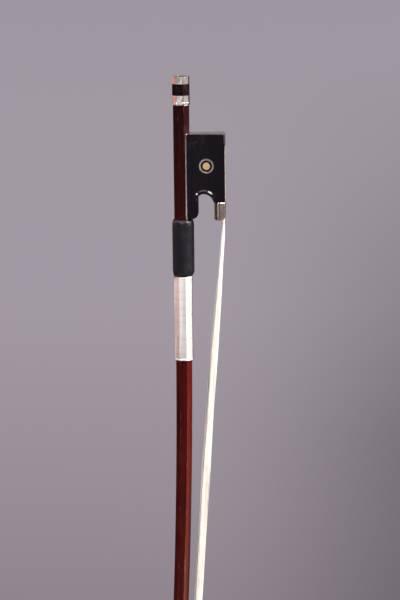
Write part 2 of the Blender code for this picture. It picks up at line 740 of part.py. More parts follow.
winding = loft("wire_winding", [[(x, y, zz) for x, y in octagon(WINDING_FLATS)]
                                for zz in (WINDING_TOP, WINDING_LOW)])
soften = winding.modifiers.new("soft corners", 'BEVEL')
soften.width = 0.25 * MM
soften.segments = 1
soften.limit_method = 'ANGLE'
soften.angle_limit = math.radians(30)
cut(winding, grip_bore)
finish(winding, WIRE)


# --------------------------------------------------------------------- the hair
HEAD_EDGE = head_point(-0.4, -HAIR_OUT, 0)


def hair_share(z):
    """How far down the free hair this height is, 0 at the ferrule and 1 at the head."""
    return min(1.0, max(0.0, (HAIR_EXIT_Z - z) / (HAIR_EXIT_Z - HEAD_EDGE[2])))


def free_hair(z):
    """Middle of the slack ribbon between ferrule and head: it sags out and wavers a little."""
    t = hair_share(z)
    waver = monotone([(0, 0), (0.012, 0.24), (0.05, 0.24), (0.09, 0.08), (0.15, 0.02),
                      (0.213, -0.2), (0.28, -0.05), (0.35, 0.06), (0.5, 0.0), (1.0, 0.0)], t)
    return (HAIR_EXIT_X + (HEAD_EDGE[0] - HAIR_EXIT_X) * t
            + HAIR_BULGE * math.sin(math.pi * t) ** 2 + waver)


def hair_twist(z):
    """The slack ribbon turns its playing side a little to the left, in degrees."""
    return monotone([(0, 0), (0.012, 6.0), (0.03, 7.5), (0.06, 9.5), (0.09, 13.3), (0.13, 17.0),
                     (0.17, 17.0), (0.213, 21.5), (0.26, 18.0), (0.33, 18.0), (0.6, 16.0),
                     (0.85, 11.0), (0.95, 3.0), (1.0, 0.0)], hair_share(z))


path = [  # x, z, half width, half thickness, twist in degrees
    (17.45, 30.75, 2.7, 0.4, 0), (19.2, 30.75, 2.9, 0.4, 0), (19.85, 30.6, 3.0, 0.4, 0),
    (20.25, 30.2, 3.1, 0.4, 0), (20.38, 29.6, 3.2, 0.4, 0), (20.38, 20.0, 3.25, 0.4, 0),
    (20.38, 10.8, 3.25, 0.4, 0), (20.6, 9.8, 3.25, 0.4, 0), (21.6, 7.6, 4.6, 0.4, 0),
    (22.0, 6.4, 4.9, 0.4, 0), (22.1, 5.2, 5.0, 0.4, 0), (22.12, 1.5, 5.1, 0.4, 0)]
z = HAIR_EXIT_Z
while z > PLATE_HEEL_Z + 8:
    t = hair_share(z)
    gather = smooth(t / 0.1) * smooth((1 - t) / 0.12)
    wide = 5.1 - 0.6 * gather - (1.9 * smooth((t - 0.88) / 0.12) if t > 0.88 else 0.0)
    path.append((free_hair(z), z, wide, 0.4 + 0.22 * gather, hair_twist(z)))
    z -= 4.0 if z > -14 else (18.0 if z > -600 else 12.0)
for s, h, wide in ((-3.5, -HAIR_OUT, 2.95), (0.6, -HAIR_OUT, 2.8), (1.6, -HAIR_OUT + 0.05, 2.75),
                   (2.25, -HAIR_OUT + 0.35, 2.75), (2.5, 0.1, 2.75), (2.55, 1.0, 2.75),
                   (2.55, 6.9, 2.6)):
    x, _, zz = head_point(s, h, 0)
    path.append((x, zz, wide, 0.4, 0.0))


def ribbon_sections(stops):
    rings = []
    for i, (x, z, wide, thick, twist) in enumerate(stops):
        before = stops[max(0, i - 1)]
        after = stops[min(len(stops) - 1, i + 1)]
        run = Vector((after[0] - before[0], 0, after[1] - before[1])).normalized()
        normal = Vector((0, 1, 0)).cross(run)
        side = Vector((0, 1, 0))
        a = math.radians(twist)
        n = normal * math.cos(a) + side * math.sin(a)
        w = side * math.cos(a) - normal * math.sin(a)
        mid = Vector((x, 0, z))
        half = [(wide, thick * 0.5), (wide - thick * 0.7, thick), (-wide + thick * 0.7, thick),
                (-wide, thick * 0.5)]
        ring = half + [(u, -v) for u, v in reversed(half)]
        rings.append([tuple(mid + w * u + n * v) for u, v in ring])
    return rings


hair = finish(loft("hair_ribbon", ribbon_sections(path)), HAIR)

# ----------------------------------------------------- what moves with what
def axis_empty(name, height):
    ob = bpy.data.objects.new(name, None)
    ob.empty_display_size = 0.01
    ob.location = (0, 0, height * MM)
    PARTS.objects.link(ob)
    return ob


adjuster_axis = axis_empty("adjuster_axis", BUTTON_SEAT)
frog_axis = axis_empty("frog_axis", FROG_FRONT)


def carry(empty, obs):
    for ob in obs:
        ob.parent = empty
        ob.matrix_parent_inverse = Matrix.Translation(-empty.location)


carry(adjuster_axis, [collar, core, end_ring, button_eye, screw] + button_pins)
for shape in (core_low, core_top, tang_hole, eye_pocket, tang):
    carry(adjuster_axis, [shape])
for ob in CUTTERS.objects:
    if ob.name.startswith(("button_", "collar_pin", "ring_pin")) and ob.parent is None:
        carry(adjuster_axis, [ob])
adjuster_axis.rotation_euler = (0, 0, math.radians(BUTTON_TURN))
carry(frog_axis, [frog, underslide, upper, lower, eyelet, slide_backing, pearl_slide, ferrule,
                  wedge, frog_knot, frog_plug] + heel_pins + underslide_pins
      + [ob for ob in PARTS.objects if ob.name.startswith(("eye_ring_", "eye_pearl_"))])
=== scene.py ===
"""Looks of the violin bow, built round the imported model.

Frame: +Z along the handle towards the button, +X to the hair side, origin on the handle's axis
level with the front of the frog.  Sizes below are millimetres, meshes are in metres.
"""
import bpy
import bmesh
import math
import random
from mathutils import Matrix, Vector, noise


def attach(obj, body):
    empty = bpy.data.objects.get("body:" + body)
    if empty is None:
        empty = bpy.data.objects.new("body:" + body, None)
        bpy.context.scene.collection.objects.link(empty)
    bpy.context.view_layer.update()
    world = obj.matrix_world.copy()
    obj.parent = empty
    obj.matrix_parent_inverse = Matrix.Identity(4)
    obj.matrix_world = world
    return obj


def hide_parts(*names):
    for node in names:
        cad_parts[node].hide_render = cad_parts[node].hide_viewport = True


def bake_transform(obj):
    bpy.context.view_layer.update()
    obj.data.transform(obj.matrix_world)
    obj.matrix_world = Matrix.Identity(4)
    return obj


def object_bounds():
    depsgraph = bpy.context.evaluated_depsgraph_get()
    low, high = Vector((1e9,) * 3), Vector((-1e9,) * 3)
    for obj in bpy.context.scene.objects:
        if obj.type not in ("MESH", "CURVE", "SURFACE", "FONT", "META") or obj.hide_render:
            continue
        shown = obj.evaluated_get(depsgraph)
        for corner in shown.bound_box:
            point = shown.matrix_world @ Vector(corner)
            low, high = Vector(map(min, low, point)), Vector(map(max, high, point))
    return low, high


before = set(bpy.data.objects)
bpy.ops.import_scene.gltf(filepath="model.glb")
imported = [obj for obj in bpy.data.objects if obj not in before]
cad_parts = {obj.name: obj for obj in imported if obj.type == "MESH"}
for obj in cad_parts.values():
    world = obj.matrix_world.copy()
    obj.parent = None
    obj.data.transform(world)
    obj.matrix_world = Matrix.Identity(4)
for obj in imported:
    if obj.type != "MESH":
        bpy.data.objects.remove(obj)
cad_low, cad_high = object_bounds()

MM = 0.001
FINE = 0.02                  # air between close-fitting pieces

# ------------------------------------------------------- sizes of the real thing
HANDLE_FLATS = 8.5
HEAD_FLATS = 5.3
TAPER_FROM = -72.0
TAPER_TO = -638.0
TAPER_POWER = 1.8
CAMBER_FROM = -64.4
CAMBER = 0.00015
STICK_END = 60.7
NIPPLE_R = 2.45
NIPPLE_END = 62.9
BORE_R = 1.65
BORE_END = 6.0
MORTISE_HALF = 2.05
MORTISE_DEEP = -3.0
BUTTON_SEAT = 61.0
BUTTON_END = 76.3
BUTTON_TURN = -6.0
FROG_HEEL = 46.0
HEEL_PLATE = 0.4
SLIDE_X = 23.2
WING_Y = 4.15
UNDERSLIDE = 0.5
EYELET_Z = 22.0
TRAVEL = 6.0
EYE_X = 13.4
EYE_Z = 28.8
EYE_RING_R = 3.95
EYE_RING_INNER = 3.08
EYE_DOT_R = 1.95
THROAT_LEFT = 8.6
THROAT_RIGHT = 17.05
THROAT_APEX_X = 11.6
THROAT_APEX_Z = 13.55
FERRULE_LOW = -0.3
FERRULE_TOP = 9.4
FERRULE_HALF = 6.6
FERRULE_WALL = 0.4
FERRULE_ARCH_X = 17.05
HAIR_MORTISE_LOW = 29.5
HAIR_MORTISE_TOP = 38.6
LEATHER_TOP = -0.3
LEATHER_LOW = -31.2
LEATHER_R = 5.9
LEATHER_SHIFT = 0.3
WINDING_TOP = -31.5
WINDING_LOW = -77.4
WINDING_FLATS = 9.75
PLATE_HEEL_X = -31.0
PLATE_HEEL_Z = -643.7
PLATE_SLOPE = 0.0817
WOOD_H = 2.13
HEAD_MORTISE = (1.6, 9.8, 3.15, 10.2)
HAIR_EXIT_X = 22.1
HAIR_EXIT_Z = -2.0
HAIR_BULGE = 1.8
HAIR_OUT = 0.75


# ------------------------------------------------------------------ camera
def photograph_view():
    """The photograph's own point of view: 11 degrees above level, 3 degrees round to the hair side."""
    azimuth, pitch, roll = math.radians(3.0), math.radians(11.0), math.radians(-0.64)
    away, across, height = 1200.0, 8.945, 188.5
    place = Vector((away * math.sin(azimuth) + across * math.cos(azimuth),
                    -away * math.cos(azimuth) + across * math.sin(azimuth), height)) * MM
    look = Vector((-math.sin(azimuth) * math.cos(pitch), math.cos(azimuth) * math.cos(pitch),
                   -math.sin(pitch)))
    level = Vector((math.cos(azimuth), math.sin(azimuth), 0))
    up = level.cross(look)
    right = level * math.cos(roll) + up * math.sin(roll)
    top = up * math.cos(roll) - level * math.sin(roll)
    data = bpy.data.cameras.new("camera")
    data.sensor_width = 36.0
    data.lens = 2261.55 * 36.0 / 600.0
    data.clip_start, data.clip_end = 0.02, 400.0
    cam = bpy.data.objects.new("camera", data)
    bpy.context.scene.collection.objects.link(cam)
    cam.matrix_world = Matrix.Translation(place) @ Matrix((right, top, -look)).transposed().to_4x4()
    bpy.context.scene.camera = cam


photograph_view()


# ------------------------------------------------------------------ mesh helpers
def new_piece(name, bm):
    bmesh.ops.recalc_face_normals(bm, faces=bm.faces)
    me = bpy.data.meshes.new(name)
    bm.to_mesh(me)
    bm.free()
    ob = bpy.data.objects.new(name, me)
    bpy.context.scene.collection.objects.link(ob)
    return ob


def drop(*obs):
    for ob in obs:
        bpy.data.objects.remove(ob, do_unlink=True)


def settle(ob):
    """Make the modifiers' result the piece's own mesh."""
    graph = bpy.context.evaluated_depsgraph_get()
    graph.update()
    me = bpy.data.meshes.new_from_object(ob.evaluated_get(graph), preserve_all_data_layers=True,
                                         depsgraph=graph)
    ob.modifiers.clear()
    old, ob.data = ob.data, me
    bpy.data.meshes.remove(old)
    return ob


def carve(ob, *tools, operation='DIFFERENCE'):
    for tool in tools:
        mod = ob.modifiers.new("carve", 'BOOLEAN')
        mod.operation = operation
        mod.solver = 'EXACT'
        mod.object = tool
    settle(ob)
    drop(*tools)
    bm = bmesh.new()
    bm.from_mesh(ob.data)
    bmesh.ops.remove_doubles(bm, verts=bm.verts, dist=2e-7)
    bmesh.ops.dissolve_degenerate(bm, edges=bm.edges, dist=2e-7)
    bm.to_mesh(ob.data)
    bm.free()
    return ob


def box(name, low, high):
    bm = bmesh.new()
    bmesh.ops.create_cube(bm, size=1.0)
    for v in bm.verts:
        v.co = Vector((l + h) / 2 + c * (h - l) for c, l, h in zip(v.co, low, high)) * MM
    return new_piece(name, bm)


def rod(name, radius, start, end, segments=32):
    a, b = Vector(start), Vector(end)
    bm = bmesh.new()
    bmesh.ops.create_cone(bm, cap_ends=True, segments=segments, radius1=radius * MM,
                          radius2=radius * MM, depth=(b - a).length * MM)
    turn = (b - a).to_track_quat('Z', 'Y').to_matrix().to_4x4()
    bmesh.ops.transform(bm, matrix=Matrix.Translation((a + b) / 2 * MM) @ turn, verts=bm.verts)
    return new_piece(name, bm)


def loft(name, rings, closed=False, mark=None):
    """Skin equal rings.  mark gives one number per ring point, kept on the mesh as 'edge'."""
    bm = bmesh.new()
    layer = bm.verts.layers.float.new("edge") if mark else None
    rows = []
    for ring in rings:
        row = [bm.verts.new(Vector(p) * MM) for p in ring]
        if mark:
            for v, m in zip(row, mark):
                v[layer] = m
        rows.append(row)
    count = len(rows[0])
    pairs = list(zip(rows, rows[1:])) + ([(rows[-1], rows[0])] if closed else [])
    for one, two in pairs:
        for i in range(count):
            j = (i + 1) % count
            bm.faces.new((one[i], one[j], two[j], two[i]))
    if not closed:
        bm.faces.new(rows[0])
        bm.faces.new(list(reversed(rows[-1])))
    return new_piece(name, bm)


def slab(name, loops, low, high, plane='XY'):
    """A flat outline with holes, made thick.  plane XY: thick along Z, XZ: thick along Y."""
    cu = bpy.data.curves.new(name, 'CURVE')
    cu.dimensions = '2D'
    cu.fill_mode = 'BOTH'
    cu.extrude = (high - low) / 2 * MM
    for loop in loops:
        sp = cu.splines.new('POLY')
        sp.points.add(len(loop) - 1)
        for point, (u, v) in zip(sp.points, loop):
            point.co = (u * MM, v * MM, 0.0, 1.0)
        sp.use_cyclic_u = True
    guide = bpy.data.objects.new(name, cu)
    bpy.context.scene.collection.objects.link(guide)
    graph = bpy.context.evaluated_depsgraph_get()
    graph.update()
    me = bpy.data.meshes.new_from_object(guide.evaluated_get(graph))
    place = Matrix.Translation((0, 0, (low + high) / 2 * MM))
    if plane == 'XZ':
        place = Matrix.Translation((0, (low + high) / 2 * MM, 0)) @ \
            Matrix.Rotation(math.radians(90), 4, 'X')
    bm = bmesh.new()
    bm.from_mesh(me)
    bmesh.ops.remove_doubles(bm, verts=bm.verts, dist=1e-7)
    bmesh.ops.transform(bm, matrix=place, verts=bm.verts)
    drop(guide)
    bpy.data.meshes.remove(me)
    return new_piece(name, bm)


def soften(ob, width, segments=2, angle=35.0):
    """Round the sharp edges and keep flat faces flat."""
    mod = ob.modifiers.new("round edges", 'BEVEL')
    mod.width = width * MM
    mod.segments = segments
    mod.limit_method = 'ANGLE'
    mod.angle_limit = math.radians(angle)
    mod.miter_outer = 'MITER_ARC'
    mod.use_clamp_overlap = True
    return ob


def shade(ob, angle=40.0, weighted=True):
    ob.data.shade_smooth()
    ob.data.set_sharp_from_angle(angle=math.radians(angle))
    if weighted:
        mod = ob.modifiers.new("true facets", 'WEIGHTED_NORMAL')
        mod.keep_sharp = True
        mod.weight = 80
    return ob


def show(ob, mat, body, slot, *nodes):
    """Finish a piece: its material, the body that it rides on and the nodes it stands for."""
    ob.data.materials.clear()
    ob.data.materials.append(mat)
    for poly in ob.data.polygons:
        poly.material_index = 0
    if body:
        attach(ob, body)
    if nodes:
        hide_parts(*nodes)
    return ob


def smooth(t):
    t = min(1.0, max(0.0, t))
    return t * t * (3 - 2 * t)


def octagon(flats):
    r = flats / 2
    a = r * math.tan(math.pi / 8)
    return [(-r, a), (-a, r), (a, r), (r, a), (r, -a), (a, -r), (-a, -r), (-r, -a)]


def circle(cx, cy, radius, count):
    return [(cx + radius * math.cos(2 * math.pi * i / count),
             cy + radius * math.sin(2 * math.pi * i / count)) for i in range(count)]


def round_ring(corners, radius, steps=3, support=0.3):
    """Round every corner of a closed ring.  Returns points and marks, 1 on the rounding."""
    points, marks = [], []
    count = len(corners)
    radii = radius if isinstance(radius, (list, tuple)) else [radius] * count
    for i, p in enumerate(corners):
        p = Vector(p)
        a, b = Vector(corners[i - 1]) - p, Vector(corners[(i + 1) % count]) - p
        la, lb = a.length, b.length
        a.normalize()
        b.normalize()
        turn = math.pi - math.acos(max(-1.0, min(1.0, a.dot(b))))
        reach = min(radii[i] * math.tan(turn / 2), 0.36 * la, 0.36 * lb)
        start, end = p + a * reach, p + b * reach
        points.append(start + a * min(support, 0.1 * la))
        marks.append(0.0)
        for k in range(steps + 1):
            t = k / steps
            points.append(start * (1 - t) ** 2 + p * 2 * t * (1 - t) + end * t * t)
            marks.append(1.0)
        points.append(end + b * min(support, 0.1 * lb))
        marks.append(0.0)
    return points, marks


def monotone(points, x):
    xs = [p[0] for p in points]
    ys = [p[1] for p in points]
    if x <= xs[0]:
        return ys[0]
    if x >= xs[-1]:
        return ys[-1]
    n = len(xs)
    d = [(ys[i + 1] - ys[i]) / (xs[i + 1] - xs[i]) for i in range(n - 1)]
    m = [d[0]] + [0.0 if d[i - 1] * d[i] <= 0 else 2 * d[i - 1] * d[i] / (d[i - 1] + d[i])
                  for i in range(1, n - 1)] + [d[-1]]
    k = max(i for i in range(n - 1) if xs[i] <= x)
    h = xs[k + 1] - xs[k]
    t = (x - xs[k]) / h
    return ((1 + 2 * t) * (1 - t) ** 2 * ys[k] + t * (1 - t) ** 2 * h * m[k]
            + t * t * (3 - 2 * t) * ys[k + 1] + t * t * (t - 1) * h * m[k + 1])


# ------------------------------------------------------------------ materials
class Finish:
    """A small helper that wires one procedural material."""

    def __init__(self, name, **values):
        self.mat = bpy.data.materials.new(name)
        self.mat.use_nodes = True
        self.tree = self.mat.node_tree
        self.shader = self.tree.nodes["Principled BSDF"]
        self.place = self.add('ShaderNodeTexCoord').outputs["Object"]
        for key, value in values.items():
            self.set(key.replace("_", " "), value)

    def add(self, kind, **props):
        node = self.tree.nodes.new(kind)
        for key, value in props.items():
            setattr(node, key, value)
        return node

    def link(self, out, socket):
        self.tree.links.new(out, socket)

    def set(self, key, value):
        socket = self.shader.inputs[key]
        if hasattr(value, "node"):
            self.link(value, socket)
        elif hasattr(value, "__len__") and len(value) == 3 and socket.type == 'RGBA':
            socket.default_value = (*value, 1.0)
        else:
            socket.default_value = value

    def stretch(self, scale, offset=(0, 0, 0), turn=(0, 0, 0)):
        node = self.add('ShaderNodeMapping')
        node.inputs["Scale"].default_value = scale
        node.inputs["Location"].default_value = offset
        node.inputs["Rotation"].default_value = turn
        self.link(self.place, node.inputs["Vector"])
        return node.outputs["Vector"]

    def noise(self, scale, detail=3.0, rough=0.55, distortion=0.0, offset=(0, 0, 0), turn=(0, 0, 0)):
        node = self.add('ShaderNodeTexNoise')
        node.inputs["Scale"].default_value = 1.0
        node.inputs["Detail"].default_value = detail
        node.inputs["Roughness"].default_value = rough
        node.inputs["Distortion"].default_value = distortion
        scale = (scale,) * 3 if isinstance(scale, (int, float)) else scale
        self.link(self.stretch(scale, offset, turn), node.inputs["Vector"])
        return node.outputs["Fac"]

    def cells(self, scale, feature='F1', offset=(0, 0, 0)):
        node = self.add('ShaderNodeTexVoronoi', feature=feature)
        node.inputs["Scale"].default_value = 1.0
        scale = (scale,) * 3 if isinstance(scale, (int, float)) else scale
        self.link(self.stretch(scale, offset), node.inputs["Vector"])
        return node.outputs["Distance"]

    def ramp(self, value, *stops, ease='LINEAR'):
        """Stops are (position, colour or grey)."""
        node = self.add('ShaderNodeValToRGB')
        node.color_ramp.interpolation = ease
        while len(node.color_ramp.elements) < len(stops):
            node.color_ramp.elements.new(0.5)
        for element, (at, colour) in zip(node.color_ramp.elements, stops):
            element.position = at
            colour = (colour,) * 3 if isinstance(colour, (int, float)) else colour
            element.color = (*colour, 1.0)
        self.link(value, node.inputs["Fac"])
        return node.outputs["Color"]

    def scaled(self, value, low, high, to_low, to_high, clamp=True):
        node = self.add('ShaderNodeMapRange', clamp=clamp)
        for key, number in (("From Min", low), ("From Max", high), ("To Min", to_low),
                            ("To Max", to_high)):
            node.inputs[key].default_value = number
        self.link(value, node.inputs["Value"])
        return node.outputs["Result"]

    def math(self, operation, a, b=0.0):
        node = self.add('ShaderNodeMath', operation=operation)
        for socket, value in zip(node.inputs, (a, b)):
            if hasattr(value, "node"):
                self.link(value, socket)
            else:
                socket.default_value = value
        return node.outputs["Value"]

    def mix(self, amount, a, b, blend='MIX'):
        node = self.add('ShaderNodeMix', data_type='RGBA', blend_type=blend)
        for socket, value in ((node.inputs[0], amount), (node.inputs[6], a), (node.inputs[7], b)):
            if hasattr(value, "node"):
                self.link(value, socket)
            elif hasattr(value, "__len__"):
                socket.default_value = (*value, 1.0) if len(value) == 3 else value
            else:
                socket.default_value = value
        return node.outputs[2]

    def attribute(self, name):
        return self.add('ShaderNodeAttribute', attribute_name=name).outputs["Fac"]

    def along(self, axis):
        node = self.add('ShaderNodeSeparateXYZ')
        self.link(self.place, node.inputs[0])
        return node.outputs[axis]

    def bump(self, height, distance, strength=1.0, under=None):
        node = self.add('ShaderNodeBump')
        node.inputs["Distance"].default_value = distance
        node.inputs["Strength"].default_value = strength
        self.link(height, node.inputs["Height"])
        if under is not None:
            self.link(under, node.inputs["Normal"])
        return node.outputs["Normal"]


def pernambuco():
    """Dark red-brown varnished wood: long fine grain, short dark pores, faint flame."""
    f = Finish("pernambuco", Specular_IOR_Level=0.07, Coat_IOR=1.5, Coat_Roughness=0.14)
    grain = f.noise((1700, 1700, 22), detail=4, rough=0.6)
    streak = f.noise((420, 420, 9), detail=2, offset=(3.1, 1.7, 0.4))
    pores = f.noise((5200, 5200, 300), detail=2, offset=(7, 2, 5))
    flame = f.noise((90, 90, 70), detail=2, distortion=0.6, offset=(1, 4, 2))
    wood = f.ramp(grain, (0.30, (0.031, 0.0019, 0.0016)), (0.52, (0.052, 0.0036, 0.0028)),
                  (0.72, (0.080, 0.0075, 0.0050)))
    wood = f.mix(f.scaled(streak, 0.42, 0.62, 0.0, 0.50), wood, (0.025, 0.0018, 0.0016))
    wood = f.mix(f.scaled(flame, 0.45, 0.75, 0.0, 0.30), wood, (0.120, 0.0150, 0.0090))
    wood = f.mix(f.scaled(pores, 0.60, 0.68, 0.0, 0.70), wood, (0.018, 0.0022, 0.0022))
    # the handle is darker where hands and years have stained it
    z = f.along("Z")
    stain = f.scaled(z, -0.055, 0.056, 0.10, 0.94)
    # below the grip the varnish still has its full gloss
    f.set("Coat Weight", f.scaled(z, -0.20, -0.06, 0.45, 0.0))
    # painted light: the facets of the hair side are painted paler, more so further down, standing in for the key
    # light that the hair band shades off them
    facing = f.add('ShaderNodeSeparateXYZ')
    f.link(f.add('ShaderNodeNewGeometry').outputs["Normal"], facing.inputs[0])
    hairside_painted_light = f.math('MULTIPLY', f.scaled(facing.outputs["X"], 0.35, 0.65, 0.0, 1.0),
                   f.scaled(z, -0.24, -0.085, 0.55, 0.28))
    hairside_painted_light = f.math('MULTIPLY', hairside_painted_light, f.scaled(z, -0.080, -0.020, 1.0, 0.0))
    # painted shade: the facets that face the front and the back are painted darker
    front = f.scaled(f.math('ABSOLUTE', facing.outputs["X"]), 0.30, 0.60, 0.30, 0.0)
    wood = f.mix(front, wood, (0.014, 0.0008, 0.0006))
    pale = f.mix(f.scaled(z, -0.24, -0.085, 1.0, 0.0), (0.200, 0.016, 0.009), (0.200, 0.050, 0.036))
    wood = f.mix(hairside_painted_light, wood, f.mix(f.scaled(grain, 0.3, 0.7, 0.0, 0.35), pale, (0.120, 0.020, 0.012)))
    dark = f.mix(f.scaled(grain, 0.35, 0.65, 0.0, 1.0), (0.0078, 0.0024, 0.0028),
                 (0.0150, 0.0034, 0.0038))
    wood = f.mix(stain, wood, dark)
    # varnish worn off along the facet edges
    edge = f.attribute("edge")
    chips = f.scaled(f.noise((900, 900, 260), detail=3, offset=(2, 9, 4)), 0.60, 0.70, 0.0, 1.0)
    worn = f.math('MULTIPLY', chips, f.scaled(edge, 0.6, 1.0, 0.0, 0.34))
    worn = f.math('MULTIPLY', worn, f.scaled(z, -0.070, 0.0, 1.0, 0.42))
    wood = f.mix(worn, wood, (0.46, 0.20, 0.13))
    f.set("Base Color", wood)
    f.set("Roughness", f.scaled(grain, 0.3, 0.7, 0.20, 0.32))
    f.set("Normal", f.bump(f.scaled(pores, 0.58, 0.70, 1.0, 0.0), 0.00003, 0.5))
    return f.mat


def ebony(name="ebony", low=(0.0038, 0.0031, 0.0054), high=(0.0068, 0.0052, 0.0084), gleam=0.12):
    """Black polished wood with a trace of brown grain, fine scratches and a few scuffs."""
    f = Finish(name, Specular_IOR_Level=gleam, Coat_IOR=1.7, Coat_Roughness=0.09)
    # the throat is rubbed to a gloss by the thumb
    gloss = f.scaled(f.attribute("polish"), 0.60, 0.95, 0.0, 1.0)
    f.set("Coat Weight", gloss)
    grain = f.noise((1500, 1500, 45), detail=4)
    pores = f.noise((4200, 4200, 420), detail=2, offset=(4, 1, 6))
    cloud = f.noise((160, 160, 110), detail=3, offset=(8, 3, 1))
    wood = f.ramp(grain, (0.3, low), (0.7, high))
    wood = f.mix(f.scaled(cloud, 0.40, 0.70, 0.0, 0.40), wood, (0.0094, 0.0056, 0.0074))
    wood = f.mix(f.scaled(pores, 0.62, 0.70, 0.0, 0.6), wood, (0.0022, 0.0018, 0.0018))
    # rubbed marks near the heel
    marks = f.noise((330, 330, 480), detail=4, rough=0.6, distortion=0.8, offset=(2.2, 0.3, 7.9))
    marks = f.math('SUBTRACT', 1.0, f.scaled(f.math('ABSOLUTE', f.math('SUBTRACT', marks, 0.56)),
                                             0.0, 0.012, 0.0, 1.0))
    heel = f.math('MULTIPLY', f.scaled(f.along("Z"), 0.036, 0.040, 0.0, 0.45),
                  f.scaled(f.along("X"), 0.011, 0.015, 1.0, 0.0))
    wood = f.mix(f.math('MULTIPLY', marks, heel), wood, (0.10, 0.10, 0.10))
    f.set("Base Color", wood)
    scratch = f.noise((700, 700, 9000), detail=2, turn=(0.3, 0.5, 0.1), offset=(1, 1, 1))
    rub = f.scaled(scratch, 0.55, 0.75, 0.0, 0.10)
    dull = f.math('ADD', rub, f.scaled(cloud, 0.3, 0.7, 0.18, 0.28))
    f.set("Roughness", dull)
    f.set("Normal", f.bump(f.scaled(pores, 0.60, 0.72, 1.0, 0.0), 0.00002, 0.35))
    return f.mat


def silver(name, clean, mid, stain, low, high):
    """Polished silver, handled for years: soft scratches and warm tarnish in patches."""
    f = Finish(name, Metallic=1.0)
    cloud = f.noise((420, 420, 300), detail=4, rough=0.6, offset=(5, 2, 3))
    speck = f.noise((2600, 2600, 2600), detail=3, offset=(1, 6, 2))
    scratch = f.noise((9000, 9000, 600), detail=2, turn=(0.2, 0.4, 0.3))
    tint = f.ramp(cloud, (0.34, clean), (0.55, mid), (0.74, stain))
    tint = f.mix(f.scaled(speck, 0.62, 0.72, 0.0, 0.40), tint, (0.36, 0.29, 0.23))
    f.set("Base Color", tint)
    rough = f.scaled(cloud, 0.3, 0.75, low, high)
    f.set("Roughness", f.math('ADD', rough, f.scaled(scratch, 0.5, 0.75, 0.0, 0.08)))
    f.set("Normal", f.bump(scratch, 0.000006, 0.25))
    return f.mat


def wire():
    """Drawn silver wire, a little tarnished in bands."""
    f = Finish("silver_wire", Metallic=1.0)
    band = f.noise((25, 25, 700), detail=3, offset=(3, 3, 3))
    cloud = f.noise((140, 140, 230), detail=3, offset=(9, 2, 7))
    tint = f.ramp(band, (0.30, (0.800, 0.709, 0.673)), (0.46, (0.930, 0.850, 0.823)), (0.80, (0.960, 0.888, 0.860)))
    tint = f.mix(f.scaled(cloud, 0.52, 0.75, 0.0, 0.35), tint, (0.820, 0.709, 0.645))
    f.set("Base Color", tint)
    f.set("Roughness", f.scaled(cloud, 0.3, 0.7, 0.28, 0.36))
    return f.mat


def leather():
    """Thin black goatskin, pebbled, worn smooth in places."""
    f = Finish("leather", Specular_IOR_Level=0.34, Sheen_Weight=0.03, Sheen_Roughness=0.5)
    pebble = f.cells((3000, 3000, 2400))
    fine = f.noise(7000, detail=3)
    crease = f.noise((260, 260, 1500), detail=3, distortion=0.5, offset=(2, 2, 8))
    cloud = f.noise(220, detail=3, offset=(6, 1, 1))
    tint = f.ramp(cloud, (0.30, (0.0030, 0.0028, 0.0056)), (0.70, (0.0062, 0.0057, 0.0100)))
    tint = f.mix(f.scaled(pebble, 0.55, 0.85, 0.0, 0.5), tint, (0.004, 0.004, 0.005))
    f.set("Base Color", tint)
    f.set("Roughness", f.scaled(cloud, 0.3, 0.7, 0.30, 0.42))
    low = f.bump(f.scaled(crease, 0.50, 0.72, 1.0, 0.0), 0.00010, 0.5)
    mid = f.bump(pebble, -0.00006, 0.6, low)
    f.set("Normal", f.bump(fine, 0.00003, 0.3, mid))
    return f.mat


def pearl(name, warm):
    """Mother-of-pearl: curved bands that shift between cream, pink and green."""
    f = Finish(name, Specular_IOR_Level=0.6, Coat_Weight=0.5, Coat_Roughness=0.06, Roughness=0.22)
    drift = f.noise((420, 420, 260), detail=3, distortion=1.6, offset=(2, 5, 3))
    band = f.noise((1100, 1100, 520), detail=2, distortion=2.4, offset=(7, 3, 2))
    base = f.ramp(band, (0.30, (0.62, 0.56, 0.46)), (0.44, (0.80, 0.74, 0.62)),
                  (0.55, (0.70, 0.72, 0.62)), (0.66, (0.86, 0.80, 0.74)), (0.80, (0.66, 0.60, 0.60)))
    if warm:
        base = f.ramp(band, (0.30, (0.33, 0.16, 0.045)), (0.46, (0.52, 0.29, 0.11)),
                      (0.58, (0.43, 0.31, 0.15)), (0.76, (0.60, 0.41, 0.20)))
    base = f.mix(f.scaled(drift, 0.35, 0.65, 0.0, 0.35), base, (0.52, 0.37, 0.21) if warm
                 else (0.86, 0.84, 0.80))
    f.set("Base Color", base)
    f.set("Roughness", f.scaled(drift, 0.3, 0.7, 0.16, 0.30))
    return f.mat


def bone():
    f = Finish("bone", Specular_IOR_Level=0.5, Roughness=0.3, Subsurface_Weight=0.05)
    f.set("Subsurface Radius", (0.0008, 0.0005, 0.0003))
    line = f.noise((900, 900, 40), detail=3)
    cloud = f.noise(180, detail=3, offset=(4, 4, 4))
    tint = f.ramp(line, (0.32, (0.70, 0.64, 0.50)), (0.70, (0.84, 0.80, 0.70)))
    f.set("Base Color", f.mix(f.scaled(cloud, 0.4, 0.7, 0.0, 0.4), tint, (0.74, 0.66, 0.50)))
    f.set("Roughness", f.scaled(cloud, 0.3, 0.7, 0.24, 0.40))
    return f.mat


def maple():
    f = Finish("maple", Roughness=0.6)
    line = f.noise((1300, 1300, 60), detail=4)
    fleck = f.noise((5000, 5000, 500), detail=2, offset=(3, 3, 1))
    tint = f.ramp(line, (0.30, (0.46, 0.31, 0.17)), (0.70, (0.66, 0.50, 0.31)))
    f.set("Base Color", f.mix(f.scaled(fleck, 0.6, 0.7, 0.0, 0.5), tint, (0.30, 0.17, 0.08)))
    f.set("Normal", f.bump(line, 0.00003, 0.4))
    return f.mat


